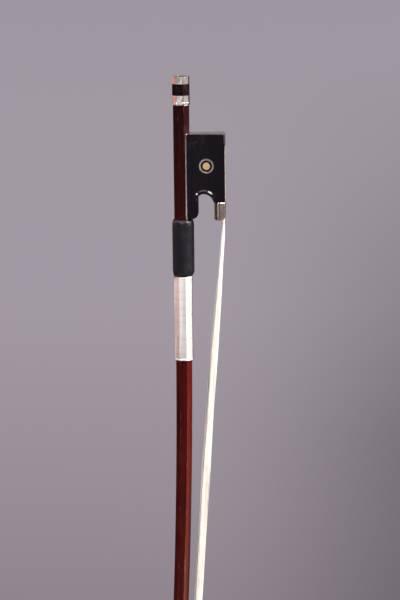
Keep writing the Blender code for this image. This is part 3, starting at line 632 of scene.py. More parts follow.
def metal(name, low, high, rough):
    """Turned metal: fine rings round its axis and a little oil stain."""
    f = Finish(name, Metallic=1.0)
    ring = f.noise((60, 60, 14000), detail=2)
    cloud = f.noise(500, detail=3, offset=(2, 7, 5))
    f.set("Base Color", f.ramp(cloud, (0.35, low), (0.65, high)))
    f.set("Roughness", f.math('ADD', f.scaled(ring, 0.4, 0.7, 0.0, 0.12),
                              f.scaled(cloud, 0.3, 0.7, rough, rough + 0.12)))
    f.set("Normal", f.bump(ring, 0.00001, 0.4))
    return f.mat


def horsehair():
    """Natural white hair: each strand its own tone, faint scales and rosin."""
    f = Finish("horsehair", Roughness=0.42, Specular_IOR_Level=0.45, Sheen_Weight=0.15,
               Sheen_Roughness=0.4)
    tone = f.attribute("tone")
    tint = f.ramp(tone, (0.0, (0.51, 0.46, 0.44)), (0.25, (0.56, 0.505, 0.47)),
                  (0.6, (0.59, 0.53, 0.49)), (1.0, (0.62, 0.56, 0.515)))
    length = f.noise((300, 300, 14), detail=2)
    tint = f.mix(f.scaled(length, 0.35, 0.65, 0.0, 0.25), tint, (0.61, 0.55, 0.49))
    f.set("Base Color", tint)
    f.set("Roughness", f.scaled(f.noise((2000, 2000, 400), detail=2), 0.3, 0.7, 0.36, 0.52))
    return f.mat


def thread():
    f = Finish("thread", Roughness=0.8, Sheen_Weight=0.3)
    turns = f.noise((200, 200, 5200), detail=1)
    fuzz = f.noise(9000, detail=2)
    tint = f.ramp(turns, (0.38, (0.16, 0.018, 0.014)), (0.60, (0.50, 0.075, 0.055)))
    f.set("Base Color", f.mix(f.scaled(fuzz, 0.55, 0.75, 0.0, 0.4), tint, (0.60, 0.20, 0.16)))
    f.set("Normal", f.bump(turns, 0.00008, 0.8))
    return f.mat


PERNAMBUCO = pernambuco()
EBONY = ebony()
BUTTON_EBONY = ebony("button_ebony", (0.0050, 0.0016, 0.0018), (0.0090, 0.0030, 0.0032), 0.02)
SILVER = silver("silver", (0.93, 0.88, 0.86), (0.89, 0.83, 0.80), (0.74, 0.64, 0.58), 0.12, 0.24)
# painted shade: a dark copy of the silver, for faces that should mirror the dark room
SHADED_SILVER = silver("silver_painted_shade", (0.20, 0.18, 0.17), (0.13, 0.11, 0.11), (0.07, 0.055, 0.05),
                 0.34, 0.50)
EYE_SILVER = silver("eye_silver", (0.76, 0.73, 0.74), (0.68, 0.64, 0.65), (0.54, 0.49, 0.48), 0.20, 0.34)
WORN_SILVER = silver("worn_silver", (0.80, 0.73, 0.69), (0.66, 0.56, 0.50), (0.42, 0.31, 0.25),
                     0.18, 0.36)
WIRE = wire()
LEATHER = leather()
PEARL = pearl("pearl", False)
EYE_PEARL = pearl("eye_pearl", True)
BONE = bone()
MAPLE = maple()
STEEL = metal("steel", (0.34, 0.34, 0.35), (0.52, 0.52, 0.53), 0.24)
BRASS = metal("brass", (0.50, 0.34, 0.12), (0.74, 0.55, 0.24), 0.22)
HORSEHAIR = horsehair()
THREAD = thread()


# ------------------------------------------------------------------ the stick
def stick_x(z):
    d = max(0.0, CAMBER_FROM - z)
    return -CAMBER * d * d


def stick_slope(z):
    return 2 * CAMBER * max(0.0, CAMBER_FROM - z)


def stick_flats(z):
    t = min(1.0, max(0.0, (TAPER_FROM - z) / (TAPER_FROM - TAPER_TO)))
    return HEAD_FLATS + (HANDLE_FLATS - HEAD_FLATS) * (1 - t ** TAPER_POWER)


HEAD_N = math.hypot(1.0, PLATE_SLOPE)


def head_point(s, h, y):
    return (PLATE_HEEL_X - (s * PLATE_SLOPE + h) / HEAD_N, y,
            PLATE_HEEL_Z - (s - h * PLATE_SLOPE) / HEAD_N)


def head_coords(x, z):
    dx, dz = x - PLATE_HEEL_X, z - PLATE_HEEL_Z
    return ((-dx * PLATE_SLOPE - dz) / HEAD_N, (-dx + dz * PLATE_SLOPE) / HEAD_N)


Z_HEAD = -635.0
S_STICK, H_STICK = head_coords(stick_x(Z_HEAD), Z_HEAD)
H_SLOPE = stick_slope(Z_HEAD) - PLATE_SLOPE
R_HEAD = HEAD_FLATS / 2


def stick_h(s):
    return H_STICK + H_SLOPE * (s - S_STICK)


def plate_lift(s):
    return 0.9 * (max(0.0, s - 13.0) / 12.0) ** 2


def plate_half(s):
    return monotone([(0, 5.05), (3, 5.1), (8, 4.85), (12, 4.3), (16, 3.5), (20, 2.55),
                     (23, 1.7), (25, 0.95)], s)


def head_top(s):
    start = stick_h(2.0) + R_HEAD
    if s <= 2.0:
        return stick_h(s) + R_HEAD
    return monotone([(2, start), (4.5, start + 0.15), (7, start - 0.35), (9, start - 1.5),
                     (10.6, start - 3.3), (11.9, start - 5.8), (13, start - 8.7),
                     (14.2, start - 11.3), (15.8, start - 13.6), (17.8, start - 15.3),
                     (20, start - 16.5), (22.5, start - 17.4), (25, start - 18.1)], s)


def head_bottom(s):
    if s <= -5.2:
        return stick_h(s) - R_HEAD
    under = stick_h(-5.2) - R_HEAD
    return monotone([(-5.2, under), (-3.6, under - 0.4), (-2.3, under - 1.7),
                     (-1.4, under - 3.8), (-0.8, under - 6.6), (-0.4, under - 9.6),
                     (-0.15, under - 12.1), (0.0, WOOD_H), (26.0, WOOD_H)], s) + plate_lift(s)


def cheek(s, h):
    t = min(1.0, max(0.0, (h - WOOD_H) / 17.0))
    return plate_half(s) * (1 - 0.46 * t ** 0.9)


def stick_ring(z):
    slope = stick_slope(z)
    n = math.hypot(1.0, slope)
    ring, marks = round_ring(octagon(stick_flats(z)), 0.55)
    return [(stick_x(z) + v / n, y, z - v * slope / n) for v, y in ring], marks


def head_ring(s):
    top, low = head_top(s), head_bottom(s)
    b = smooth((s + 6.0) / 5.5)
    f = smooth((s + 1.0) / 9.0)
    r = R_HEAD
    a = r * math.tan(math.pi / 8)
    chamfer = monotone([(0, 1.6), (8, 2.4), (14, 2.2), (19, 0.9), (25, 0.35)], s)
    c = (r - a) * (1 - f) + chamfer * f
    e = (r - a) * (1 - b) + 0.35 * b
    w0 = a * (1 - f) + monotone([(0, 1.0), (9, 0.6), (25, 0.4)], s) * f
    w1 = r * (1 - b) + cheek(s, top - c) * b
    w2 = r * (1 - b) + cheek(s, low + e) * b
    w3 = a * (1 - b) + cheek(s, low) * 0.95 * b
    # the same order of corners as the octagon: from (-x, +y) round
    half = [(top, w0), (top - c, w1), (low + e, w2), (low, w3)]
    corners = half + [(h, -w) for h, w in reversed(half)]
    # octagon() starts at (-r, a): v runs against h
    ring, marks = round_ring(corners, 0.5 - 0.25 * b)
    return [head_point(s, h, y) for h, y in ring], marks


def spaced(values, step):
    """Fill in between the given stations so that none is further apart than step."""
    out = []
    for a, b in zip(values, values[1:]):
        n = max(1, math.ceil(abs(b - a) / step - 1e-6))
        out += [a + (b - a) * i / n for i in range(n)]
    return out + [values[-1]]


rings, marks = [], None
top_edge, marks = stick_ring(STICK_END)
small = round_ring(octagon(HANDLE_FLATS - 0.3), 0.55)[0]
rings.append([(v, y, STICK_END) for v, y in small])
for z in spaced([STICK_END - 0.15, 46.0, 0.0, -64.4, Z_HEAD + 6, Z_HEAD], 4.0):
    rings.append(stick_ring(z)[0])
for s in spaced([-5.0, -3.6, -2.3, -1.4, -0.8, -0.4, -0.12, 0.0, 4.0, 8.0, 12.0, 16.0, 20.0, 23.0,
                 25.0], 0.35):
    rings.append(head_ring(s)[0])
stick = loft("bow_stick", rings, mark=marks)
nipple = rod("nipple", NIPPLE_R, (0, 0, STICK_END - 2), (0, 0, NIPPLE_END))
carve(stick, nipple, operation='UNION')
m_from, m_to, m_half, m_deep = HEAD_MORTISE


def head_block(name, s0, s1, half, h0, h1):
    """A block set square to the tip plate."""
    bm = bmesh.new()
    bmesh.ops.create_cube(bm, size=1.0)
    for v in bm.verts:
        s = (s0 + s1) / 2 + v.co.z * (s1 - s0)
        h = (h0 + h1) / 2 + v.co.x * (h1 - h0)
        v.co = Vector(head_point(s, h, v.co.y * 2 * half)) * MM
    return new_piece(name, bm)


carve(stick, rod("bore", BORE_R, (0, 0, BORE_END), (0, 0, 70)),
      box("slot", (MORTISE_DEEP, -MORTISE_HALF, EYELET_Z - 3.1),
          (8, MORTISE_HALF, EYELET_Z + TRAVEL + 3.1)),
      head_block("mortise", m_from, m_to, m_half, -3.0, m_deep))
shade(stick, 35)
show(stick, PERNAMBUCO, "stick", "pernambuco", "stick")


# ------------------------------------------------------------------ tip plate and liner
def plate_piece(name, low, high, grow, end, edge):
    rows = []
    for s in spaced([0.0, 3.0, 8.0, 13.0, 18.0, 22.0, 25.0, end], 0.6):
        w = plate_half(min(s, 25.0)) + grow
        if s > 25.0:
            w *= 1.0 - 0.5 * ((s - 25.0) / (end - 25.0)) ** 2
        if s < 0.15:
            w -= edge * 0.6
        lift = plate_lift(s)
        ring, _ = round_ring([(high + lift, w), (low + lift, w * 0.985), (low + lift, -w * 0.985),
                              (high + lift, -w)], [edge * 0.4, edge, edge, edge * 0.4], 2, 0.1)
        rows.append([head_point(s, h, y) for h, y in ring])
    return loft(name, rows)


plate = plate_piece("bone_plate", 0.0, 1.02, 0.05, 25.5, 0.25)
carve(plate, head_block("mortise", m_from, m_to, m_half, -3.0, m_deep))
show(shade(plate, 40), BONE, "stick", "bone", "tip_plate")
liner = plate_piece("ebony_liner", 1.03, 2.11, 0.0, 25.3, 0.05)
carve(liner, head_block("mortise", m_from, m_to, m_half, -3.0, m_deep))
show(shade(liner, 40), EBONY, "stick", "ebony", "tip_liner")


# ------------------------------------------------------------------ button
def turn_button(ob):
    ob.data.transform(Matrix.Rotation(math.radians(BUTTON_TURN), 4, 'Z'))
    return ob


def octagon_turning(name, profile, bore=None, arris=0.5):
    """An octagonal turned piece.  profile is a list of (z, flats, corner radius)."""
    rows = []
    for z, flats, corner in profile:
        ring, marks = round_ring(octagon(flats), corner, 4, 0.2)
        rows.append([(x, y, z) for x, y in ring])
    ob = loft(name, rows, mark=marks)
    if bore:
        carve(ob, rod("bore", bore, (0, 0, profile[0][0] - 3), (0, 0, profile[-1][0] + 3), 48))
    return ob


def filed_turning(name, profile, bore):
    """A turned piece with eight facets filed on it.  profile is a list of (z, flats, turned radius)."""
    rows = []
    for z, flats, turned in profile:
        ring = []
        for k in range(192):
            t = math.tau * (k + 0.5) / 192
            off = (t + math.pi / 8) % (math.pi / 4) - math.pi / 8
            r = min(flats / 2 / math.cos(off), turned)
            ring.append((r * math.cos(t), r * math.sin(t), z))
        rows.append(ring)
    ob = loft(name, rows)
    carve(ob, rod("bore", bore, (0, 0, profile[0][0] - 3), (0, 0, profile[-1][0] + 3), 48))
    return ob


# at the foot of the collar the file has left the turned bead standing only at the arrises
foot = [(61.02, 8.50, 4.40), (61.08, 8.66, 4.47)]
for i in range(13):
    t = -1.0 + i / 6
    foot.append((61.88 + 0.78 * t, min(8.93, 8.76 + 0.12 * i), 4.50 + 0.33 * (1 - t * t)))
collar = filed_turning("silver_collar", foot + [(62.74, 8.94, 4.50), (62.79, 8.94, 4.79), (66.2, 8.96, 4.80)],
                       2.67)
end_ring = octagon_turning("silver_end_ring", [(72.34, 8.72, 0.4), (72.38, 8.8, 0.4),
                           (76.26, 8.78, 0.4), (BUTTON_END, 8.72, 0.42)], 2.77)
core = octagon_turning("ebony_core", [(66.22, 8.7, 0.4), (66.35, 8.9, 0.4), (72.2, 8.84, 0.4),
                                      (72.32, 8.66, 0.4)])
carve(core, rod("low_spigot", 2.65, (0, 0, 63.5), (0, 0, 68), 48),
      rod("top_spigot", 2.75, (0, 0, 70), (0, 0, 76.0), 48), operation='UNION')
carve(core, box("tang_hole", (-1.12, -1.12, 60), (1.12, 1.12, 74.1)),
      rod("eye_pocket", 1.47, (0, 0, 74.95), (0, 0, 78), 40))
pin_pieces = []
for label, height, owner, reach in (("collar", 64.9, collar, 4.45), ("ring", 74.2, end_ring, 4.36)):
    for number, side in ((1, 1), (2, -1)):
        carve(owner, rod("pin_hole", 0.42, (0, side * 2.4, height), (0, side * 6, height), 24))
        pin = rod("button_%s_pin_%d" % (label, number), 0.40, (0, side * 3.3, height),
                  (0, side * reach, height), 24)
        soften(pin, 0.06)
        pin_pieces.append((pin, "%s_pin_%d" % (label, number)))
for ob, mat, slot, node in ((collar, SILVER, "silver", "button_collar"),
                            (end_ring, SILVER, "silver", "button_end_ring"),
                            (core, BUTTON_EBONY, "ebony", "button_core")):
    show(shade(turn_button(ob), 35), mat, "adjuster", slot, node)
for pin, node in pin_pieces:
    show(shade(turn_button(pin), 40), SILVER, "adjuster", "silver", node)


def screw_thread():
    """Adjusting screw: threaded over its front half, plain behind, square tang in the button."""
    pitch, rows, sides = 0.5, [], 20
    z = 9.0
    while z < 41.0:
        fade = smooth((z - 9.0) / 0.8) * smooth((41.0 - z) / 1.5)
        row = []
        for i in range(sides):
            turn = (z / pitch + i / sides) % 1.0
            tooth = 1 - abs(2 * turn - 1)
            r = (1.35 - 0.24 * tooth * fade) * (1 - 0.25 * max(0.0, 1 - (z - 9.0) / 0.5))
            row.append((r * math.cos(2 * math.pi * i / sides), r * math.sin(2 * math.pi * i / sides), z))
        rows.append(row)
        z += pitch / 5
    for z in (41.0, 62.8, 63.4):
        rows.append([(1.35 * math.cos(2 * math.pi * i / sides), 1.35 * math.sin(2 * math.pi * i / sides), z)
                     for i in range(sides)])
    ob = loft("threaded_screw", rows)
    return carve(ob, soften(box("tang", (-1.1, -1.1, 62.0), (1.1, 1.1, 73.8)), 0.1), operation='UNION')


show(shade(turn_button(screw_thread()), 50, False), STEEL, "adjuster", "steel", "adjusting_screw")


# ------------------------------------------------------------------ frog
FLAT = HANDLE_FLATS / 2
SLANT = FLAT * (1 + math.tan(math.pi / 8))
ROOT2 = math.sqrt(2.0)
PLATE_BACK = FROG_HEEL - HEEL_PLATE - FINE


def trough(offset):
    return FLAT + offset, SLANT + offset * ROOT2


def frog_half(x):
    t = max(0.0, (x - 3.4) / 18.4)
    return WING_Y + 2.2 * t ** 1.35


def frog_outline():
    """Side outline of the ebony.  Each point: x, z, width and depth of the rounding there, and how far
    the rounding is the throat's hollow bevel (1) and not a plain rounded edge (0)."""
    pts = []

    def line(a, b, step, width, depth):
        n = max(1, math.ceil(math.dist(a, b) / step))
        for i in range(n):
            t = i / n
            pts.append((a[0] + (b[0] - a[0]) * t, a[1] + (b[1] - a[1]) * t, width, depth, 0.0))

    sharp, plain = 0.06, 0.14
    face = SLIDE_X - HEEL_PLATE - FINE
    line((-1.0, 0.0), (-1.0, PLATE_BACK), 4, sharp, sharp)
    line((-1.0, PLATE_BACK), (face - 0.6, PLATE_BACK), 2, sharp, sharp)
    line((face - 0.6, PLATE_BACK), (face, PLATE_BACK - 0.6), 0.3, sharp, sharp)
    line((face, PLATE_BACK - 0.6), (face, 40.6), 1, sharp, sharp)
    line((face, 40.6), (SLIDE_X, 40.6), 0.3, sharp, sharp)
    line((SLIDE_X, 40.6), (SLIDE_X, FERRULE_TOP + FINE), 1.2, plain, plain)
    line((SLIDE_X, FERRULE_TOP + FINE), (THROAT_RIGHT + 0.3, FERRULE_TOP + FINE), 0.5, 0.12, 0.10)
    # throat: an ellipse on the hair side, an arc on the stick side
    ax, az = THROAT_RIGHT - THROAT_APEX_X, 5.0
    cz = THROAT_APEX_Z - az
    r = THROAT_APEX_X - THROAT_LEFT
    arch = []
    start = math.asin((FERRULE_TOP + FINE - cz) / az)
    for i in range(37):
        t = start + (math.pi / 2 - start) * i / 36
        arch.append((THROAT_APEX_X + ax * math.cos(t), cz + az * math.sin(t), 90 - math.degrees(t)))
    for i in range(1, 25):
        t = math.pi / 2 + math.pi / 2 * i / 24
        arch.append((THROAT_APEX_X + r * math.cos(t), THROAT_APEX_Z - r + r * math.sin(t),
                     90 - math.degrees(t)))
    z = THROAT_APEX_Z - r
    while z > THUMB_RISE + 0.15:
        z -= 0.5
        z = max(THUMB_RISE, z)
        arch.append((THROAT_LEFT, z, -90 - 14 * (THROAT_APEX_Z - r - z)))
    for x, z, side in arch:
        # the bevel is widest at the crown and dies out low on both sides
        k = smooth((130 + side) / 82) if side < 0 else smooth((88 - side) / 42)
        wide = BEVEL_WIDE - (0.5 if side < 0 else 0.2) * smooth(abs(side) / 60)
        pts.append((x, z, 0.42 + (wide - 0.42) * k, 0.34 + (BEVEL_DEEP - 0.34) * k, k))
    for i in range(1, 13):
        t = -math.pi / 2 * i / 12
        pts.append((THROAT_LEFT - THUMB_RUN + THUMB_RUN * math.cos(t),
                    THUMB_RISE + THUMB_RISE * math.sin(t), 0.42, 0.34, 0.0))
    line((THROAT_LEFT - THUMB_RUN, 0.0), (-1.0, 0.0), 0.8, 0.3, 0.25)
    return pts


BEVEL_WIDE = 2.8
BEVEL_DEEP = 1.5
THUMB_RUN = 4.4              # the thumb projection's end is an easy quarter ellipse
THUMB_RISE = 2.6


def frog_cheeks():
    """The frog's ebony: both cheeks hollowed, their edges rounded, the throat bevelled."""
    out = frog_outline()
    # points closer together than a hair's breadth are one point
    clean = []
    for p in out:
        if not clean or math.dist(p[:2], clean[-1][:2]) > 0.03:
            clean.append(p)
    if math.dist(clean[0][:2], clean[-1][:2]) < 0.03:
        clean.pop()
    out = clean
    count = len(out)
    area = sum(out[i - 1][0] * out[i][1] - out[i][0] * out[i - 1][1] for i in range(count))
    sign = 1.0 if area > 0 else -1.0
    inner = []
    for i, (x, z, w, d, k) in enumerate(out):
        ax, az = out[i - 1][:2]
        bx, bz = out[(i + 1) % count][:2]
        e1 = Vector((x - ax, z - az)).normalized()
        e2 = Vector((bx - x, bz - z)).normalized()
        n1, n2 = Vector((-e1.y, e1.x)) * sign, Vector((-e2.y, e2.x)) * sign
        n = n1 + n2
        if n.length < 1e-6:
            n = n1.copy()
        n.normalize()
        lift = max(0.35, n.dot(n1))
        inner.append((x + n.x * w / lift, z + n.y * w / lift))
    steps = (0.0, 0.06, 0.14, 0.24, 0.35, 0.46, 0.57, 0.66, 0.74, 0.87, 1.0)
    bm = bmesh.new()
    polish = bm.verts.layers.float.new("polish")
    rings = []
    for t in steps:
        ring = []
        for (x, z, w, d, k), (ix, iz) in zip(out, inner):
            px, pz = x + (ix - x) * t, z + (iz - z) * t
            s = 1 - t
            fillet = 1 - math.sqrt(max(0.0, 1 - s * s))
            bevel = 0.6 * s + 0.4 * (max(0.0, s - 0.27) / 0.73) ** 2.3
            fall = d * (fillet * (1 - k) + bevel * k)
            vert = bm.verts.new((px, -(frog_half(px) - fall), pz))
            vert[polish] = k
            ring.append(vert)
        rings.append(ring)
    for one, two in zip(rings, rings[1:]):
        for i in range(count):
            j = (i + 1) % count
            bm.faces.new((one[i], one[j], two[j], two[i]))
    middle = bm.faces.new(rings[-1])
    geom = [middle] + list(middle.edges) + list(middle.verts)
    lines = [((3.4 + 0.9 * i, 0, 0), (1, 0, 0)) for i in range(22)]
    lines += [((0, 0, z), (0, 0, 1)) for z in (16.75, 18.0, 22.0, 28.0, 34.0, 40.0)]
    for place, normal in lines:
        cut = bmesh.ops.bisect_plane(bm, geom=geom, dist=1e-5, plane_co=place, plane_no=normal)
        geom = list(set(cut["geom"]))
    edge = set(v for ring in rings for v in ring)
    for v in bm.verts:
        if v not in edge:
            v.co.y = -frog_half(v.co.x)
            v[polish] = 0.0
    near = list(bm.faces)
    mirror = bmesh.ops.duplicate(bm, geom=list(bm.verts) + list(bm.edges) + near)
    for v in [g for g in mirror["geom"] if isinstance(g, bmesh.types.BMVert)]:
        v.co.y = -v.co.y
    lookup = mirror["vert_map"]
    far = [lookup[v] for v in rings[0]]
    for i in range(count):
        j = (i + 1) % count
        bm.faces.new((rings[0][i], far[i], far[j], rings[0][j]))
    for v in bm.verts:
        v.co = v.co * MM
    return new_piece("frog_ebony", bm)


def d_shape(inset, flat_x, count=28, corner=0.7):
    """Arched outline of the ferrule, open side cut off at flat_x."""
    half = FERRULE_HALF - inset
    cx = 20.9
    rise = cx - FERRULE_ARCH_X - inset
    pts = []
    if flat_x > cx:
        c = max(0.15, corner - inset)
        arc = [(flat_x - c + c * math.sin(t), half - c + c * math.cos(t))
               for t in [math.pi / 2 * i / 5 for i in range(6)]]
        pts += [(x, -y) for x, y in reversed(arc)]
        t0 = -math.pi / 2
    else:
        t0 = -math.acos((cx - flat_x) / rise)
    for i in range(count + 1):
        t = t0 + (-2 * t0) * i / count
        pts.append((cx - rise * math.cos(t), half * math.sin(t)))
    if flat_x > cx:
        pts += arc
    return pts


def groove_half(x, inset=0.0):
    return 3.9 - (x - 21.05) * 0.34 - inset


frog = frog_cheeks()
tongue = slab("tongue", [d_shape(FERRULE_WALL + FINE, 19.7)], 0.3, 11.0)
carve(frog, tongue, operation='UNION')
flat, slant = trough(0.2 + UNDERSLIDE + FINE)
stick_bed = slab("stick_bed", [[(-3, -8), (slant - 8, -8), (flat, -(slant - flat)), (flat, slant - flat),
                                (slant - 8, 8), (-3, 8)]], -2, 50)
groove = slab("groove", [[(21.05, -groove_half(21.05)), (24.0, -groove_half(24.0)),
                          (24.0, groove_half(24.0)), (21.05, groove_half(21.05))]], 8.0, 39.12)
carve(frog, stick_bed, groove, box("hair_channel", (19.45, -3.6, 8.6), (21.6, 3.6, 31.0)),
      box("hair_mortise", (14.2, -3.3, HAIR_MORTISE_LOW), (21.9, 3.3, HAIR_MORTISE_TOP)),
      rod("shank_hole", 1.6, (2.0, 0, EYELET_Z), (11.5, 0, EYELET_Z), 32))
for side in (-1, 1):
    lo, hi = sorted((side * 4.02, side * 8.0))
    carve(frog, slab("ring_pocket", [circle(EYE_X, EYE_Z, EYE_RING_R + FINE, 64),
                                     circle(EYE_X, EYE_Z, EYE_RING_INNER - FINE, 64)], lo, hi, 'XZ'),
          slab("dot_pocket", [circle(EYE_X, EYE_Z, EYE_DOT_R + FINE, 48)], lo, hi, 'XZ'))
HEEL_PINS = ((6.6, 0.0), (10.6, 0.0), (15.5, -2.6), (15.5, 2.6))
UNDER_PINS = (39.0, 6.0)
carve(frog, *[rod("pin_hole", 0.43, (px, py, 42.9), (px, py, 50), 24) for px, py in HEEL_PINS],
      *[rod("pin_hole", 0.53, (3.0, 0, pz), (7.4, 0, pz), 24) for pz in UNDER_PINS])
show(shade(frog, 28), EBONY, "frog", "ebony", "frog_body")


# heel plates
def frog_section(shrink=0.0):
    in_flat, in_slant = trough(0.2 + UNDERSLIDE + FINE)
    half = [(in_flat, in_slant - in_flat), (in_slant - WING_Y, WING_Y)]
    x = 4.3
    while x < 21.9:
        half.append((x, frog_half(x) - shrink))
        x += 0.9
    for i in range(1, 6):
        t = math.pi / 2 * i / 5
        half.append((SLIDE_X - 0.35 + 0.35 * math.sin(t), frog_half(22.85) - 0.35 + 0.35 * math.cos(t) - shrink))
    return half + [(px, -py) for px, py in reversed(half)]


def heel_piece(name, outline_pts, holes, node):
    ob = slab(name, [outline_pts], -8, 8, 'XZ')
    carve(ob, slab("heel_trim", [frog_section()], 30, 50), operation='INTERSECT')
    soften(ob, 0.10, 2)
    settle(ob)
    if holes:
        carve(ob, *[rod("pin_hole", 0.43, (px, py, 42.6), (px, py, 50), 24) for px, py in holes])
    show(shade(ob, 35), SILVER, "frog", "silver", node)
    # painted shade: the side faces, and low down their rounded edges too, get the dark copy of the silver, where
    # they should mirror the dark room
    ob.data.materials.append(SHADED_SILVER)
    for poly in ob.data.polygons:
        if abs(poly.normal.y) > 0.55 or (abs(poly.normal.y) > 0.15 and poly.center.z < (FROG_HEEL - 0.8) * MM):
            poly.material_index = 1


under = FROG_HEEL - HEEL_PLATE
heel_piece("silver_heel_upper", [(3.2, under), (3.2, FROG_HEEL), (12.72, FROG_HEEL), (12.72, under)],
           HEEL_PINS[:2], "heel_plate_upper")
bend = [(12.78, under), (12.78, FROG_HEEL)]
for i in range(11):
    t = math.pi / 2 * (1 - i / 10)
    bend.append((SLIDE_X - 1.3 + 1.3 * math.cos(t), FROG_HEEL - 1.3 + 1.3 * math.sin(t)))
bend += [(SLIDE_X, 40.62), (SLIDE_X - HEEL_PLATE, 40.62)]
for i in range(7):
    t = math.pi / 2 * i / 6
    bend.append((SLIDE_X - HEEL_PLATE - 0.72 + 0.72 * math.cos(t), under - 0.72 + 0.72 * math.sin(t)))
heel_piece("silver_heel_lower", bend, HEEL_PINS[2:], "heel_plate_lower")
for number, (px, py) in enumerate(HEEL_PINS, 1):
    pin = soften(rod("heel_nail_%d" % number, 0.41, (px, py, 43.0), (px, py, FROG_HEEL + 0.01), 24), 0.06)
    show(shade(pin, 40), WORN_SILVER, "frog", "silver", "heel_pin_%d" % number)
for number, pz in enumerate(UNDER_PINS, 1):
    pin = soften(rod("underslide_nail_%d" % number, 0.5, (4.52, 0, pz), (7.3, 0, pz), 24), 0.06)
    show(shade(pin, 40), WORN_SILVER, "frog", "silver", "underslide_pin_%d" % number)

# lining between stick and frog
in_flat, in_slant = trough(0.2)
out_flat, out_slant = trough(0.2 + UNDERSLIDE)
half = [(out_flat, out_slant - out_flat), (out_slant - WING_Y, WING_Y), (in_slant - WING_Y, WING_Y),
        (in_flat, in_slant - in_flat)]
lining = slab("silver_underslide", [half + [(x, -y) for x, y in reversed(half)]], 0.05, FROG_HEEL - 0.03)
soften(lining, 0.07, 2)
settle(lining)
carve(lining, rod("shank_hole", 1.62, (2.0, 0, EYELET_Z), (11.8, 0, EYELET_Z), 32),
      *[rod("pin_hole", 0.53, (2.0, 0, pz), (7.4, 0, pz), 24) for pz in UNDER_PINS])
show(shade(lining, 35), SILVER, "frog", "silver", "underslide")


# inlaid eyes: a silver ring and a pearl dot on each cheek, polished flush with a soft edge
def inlay(name, loops, side, proud, mat, slot, node):
    lo, hi = sorted((side * 4.05, side * 7.5))
    ob = slab(name, loops, lo, hi, 'XZ')
    carve(ob, slab("cheek", [frog_section(-proud)], 20, 40), operation='INTERSECT')
    soften(ob, 0.06, 2)
    show(shade(ob, 35), mat, "frog", slot, node)


for label, side in (("near", -1), ("far", 1)):
    inlay("silver_eye_ring_" + label, [circle(EYE_X, EYE_Z, EYE_RING_R, 64),
                                       circle(EYE_X, EYE_Z, EYE_RING_INNER, 64)],
          side, 0.0, EYE_SILVER, "silver", "eye_ring_" + label)
    inlay("pearl_dot_" + label, [circle(EYE_X, EYE_Z, EYE_DOT_R, 48)],
          side, 0.02, EYE_PEARL, "pearl", "eye_pearl_" + label)


# slide: ebony dovetail faced with pearl
def strip(name, x0, x1, inset, mat, slot, node):
    pts = [(x0, -groove_half(x0, inset)), (x1, -groove_half(x1, inset)),
           (x1, groove_half(x1, inset)), (x0, groove_half(x0, inset))]
    ob = slab(name, [pts], FERRULE_TOP + 0.05, 39.08, 'XY')
    cuts = []
    if node == "pearl_slide":
        cuts = spaced([FERRULE_TOP + 1.5, 37.5], 3.0)
    bm = bmesh.new()
    bm.from_mesh(ob.data)
    for z in cuts:
        bmesh.ops.bisect_plane(bm, geom=list(bm.verts) + list(bm.edges) + list(bm.faces), dist=1e-7,
                               plane_co=(0, 0, z * MM), plane_no=(0, 0, 1))
    bm.to_mesh(ob.data)
    bm.free()
    soften(ob, 0.08, 2)
    show(shade(ob, 35), mat, "frog", slot, node)


strip("ebony_slide_backing", 21.25, 22.25, 0.03, EBONY, "ebony", "slide_backing")
strip("pearl_slide_face", 22.28, SLIDE_X, 0.03, PEARL, "pearl", "pearl_slide")

# ferrule: a drawn D-shaped tube with a turned line and a sloping rim at the back
rim = [(FERRULE_LOW, 0.13), (-0.22, 0.04), (-0.12, 0.0), (2.0, 0.0), (4.4, 0.0), (6.6, 0.0), (8.46, 0.0),
       (8.56, 0.09), (8.74, 0.09), (8.82, 0.0), (8.9, 0.0), (9.0, 0.0), (9.05, 0.015), (9.38, 0.20),
       (FERRULE_TOP, 0.28)]
ferrule = loft("silver_ferrule", [[(x, y, z) for x, y in d_shape(i, SLIDE_X - i, 44, 0.9)] for z, i in rim])
carve(ferrule, slab("bore", [d_shape(FERRULE_WALL, SLIDE_X - FERRULE_WALL, 44, 0.9)], -3.0, 12.0),
      slab("nose", [[(21.45, -1.0), (24.0, -1.0), (24.0, 2.45)]], -8, 8, 'XZ'))
soften(ferrule, 0.05, 2, 50)
show(shade(ferrule, 30), WORN_SILVER, "frog", "silver", "ferrule")
wedge = loft("maple_wedge", [[(20.0, 5.2, 0.4), (21.35, 5.2, 0.4), (21.35, -5.2, 0.4), (20.0, -5.2, 0.4)],
                             [(20.0, 4.6, 5.4), (20.9, 4.6, 5.4), (20.9, -4.6, 5.4), (20.0, -4.6, 5.4)]])
soften(wedge, 0.12, 2)
show(shade(wedge, 40), MAPLE, "frog", "maple", "spread_wedge")

# the carried-over pieces that nobody sees from outside keep their shape and get their real finish
for node, mat, width in (("eyelet", BRASS, 0.12), ("frog_plug", MAPLE, 0.15), ("head_plug", MAPLE, 0.15),
                         ("hair_knot_frog", THREAD, 0.25), ("hair_knot_head", THREAD, 0.25),
                         ("button_eye", EYE_PEARL, 0.12)):
    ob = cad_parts[node]
    ob.data.materials.clear()
    ob.data.materials.append(mat)
    soften(ob, width, 2)


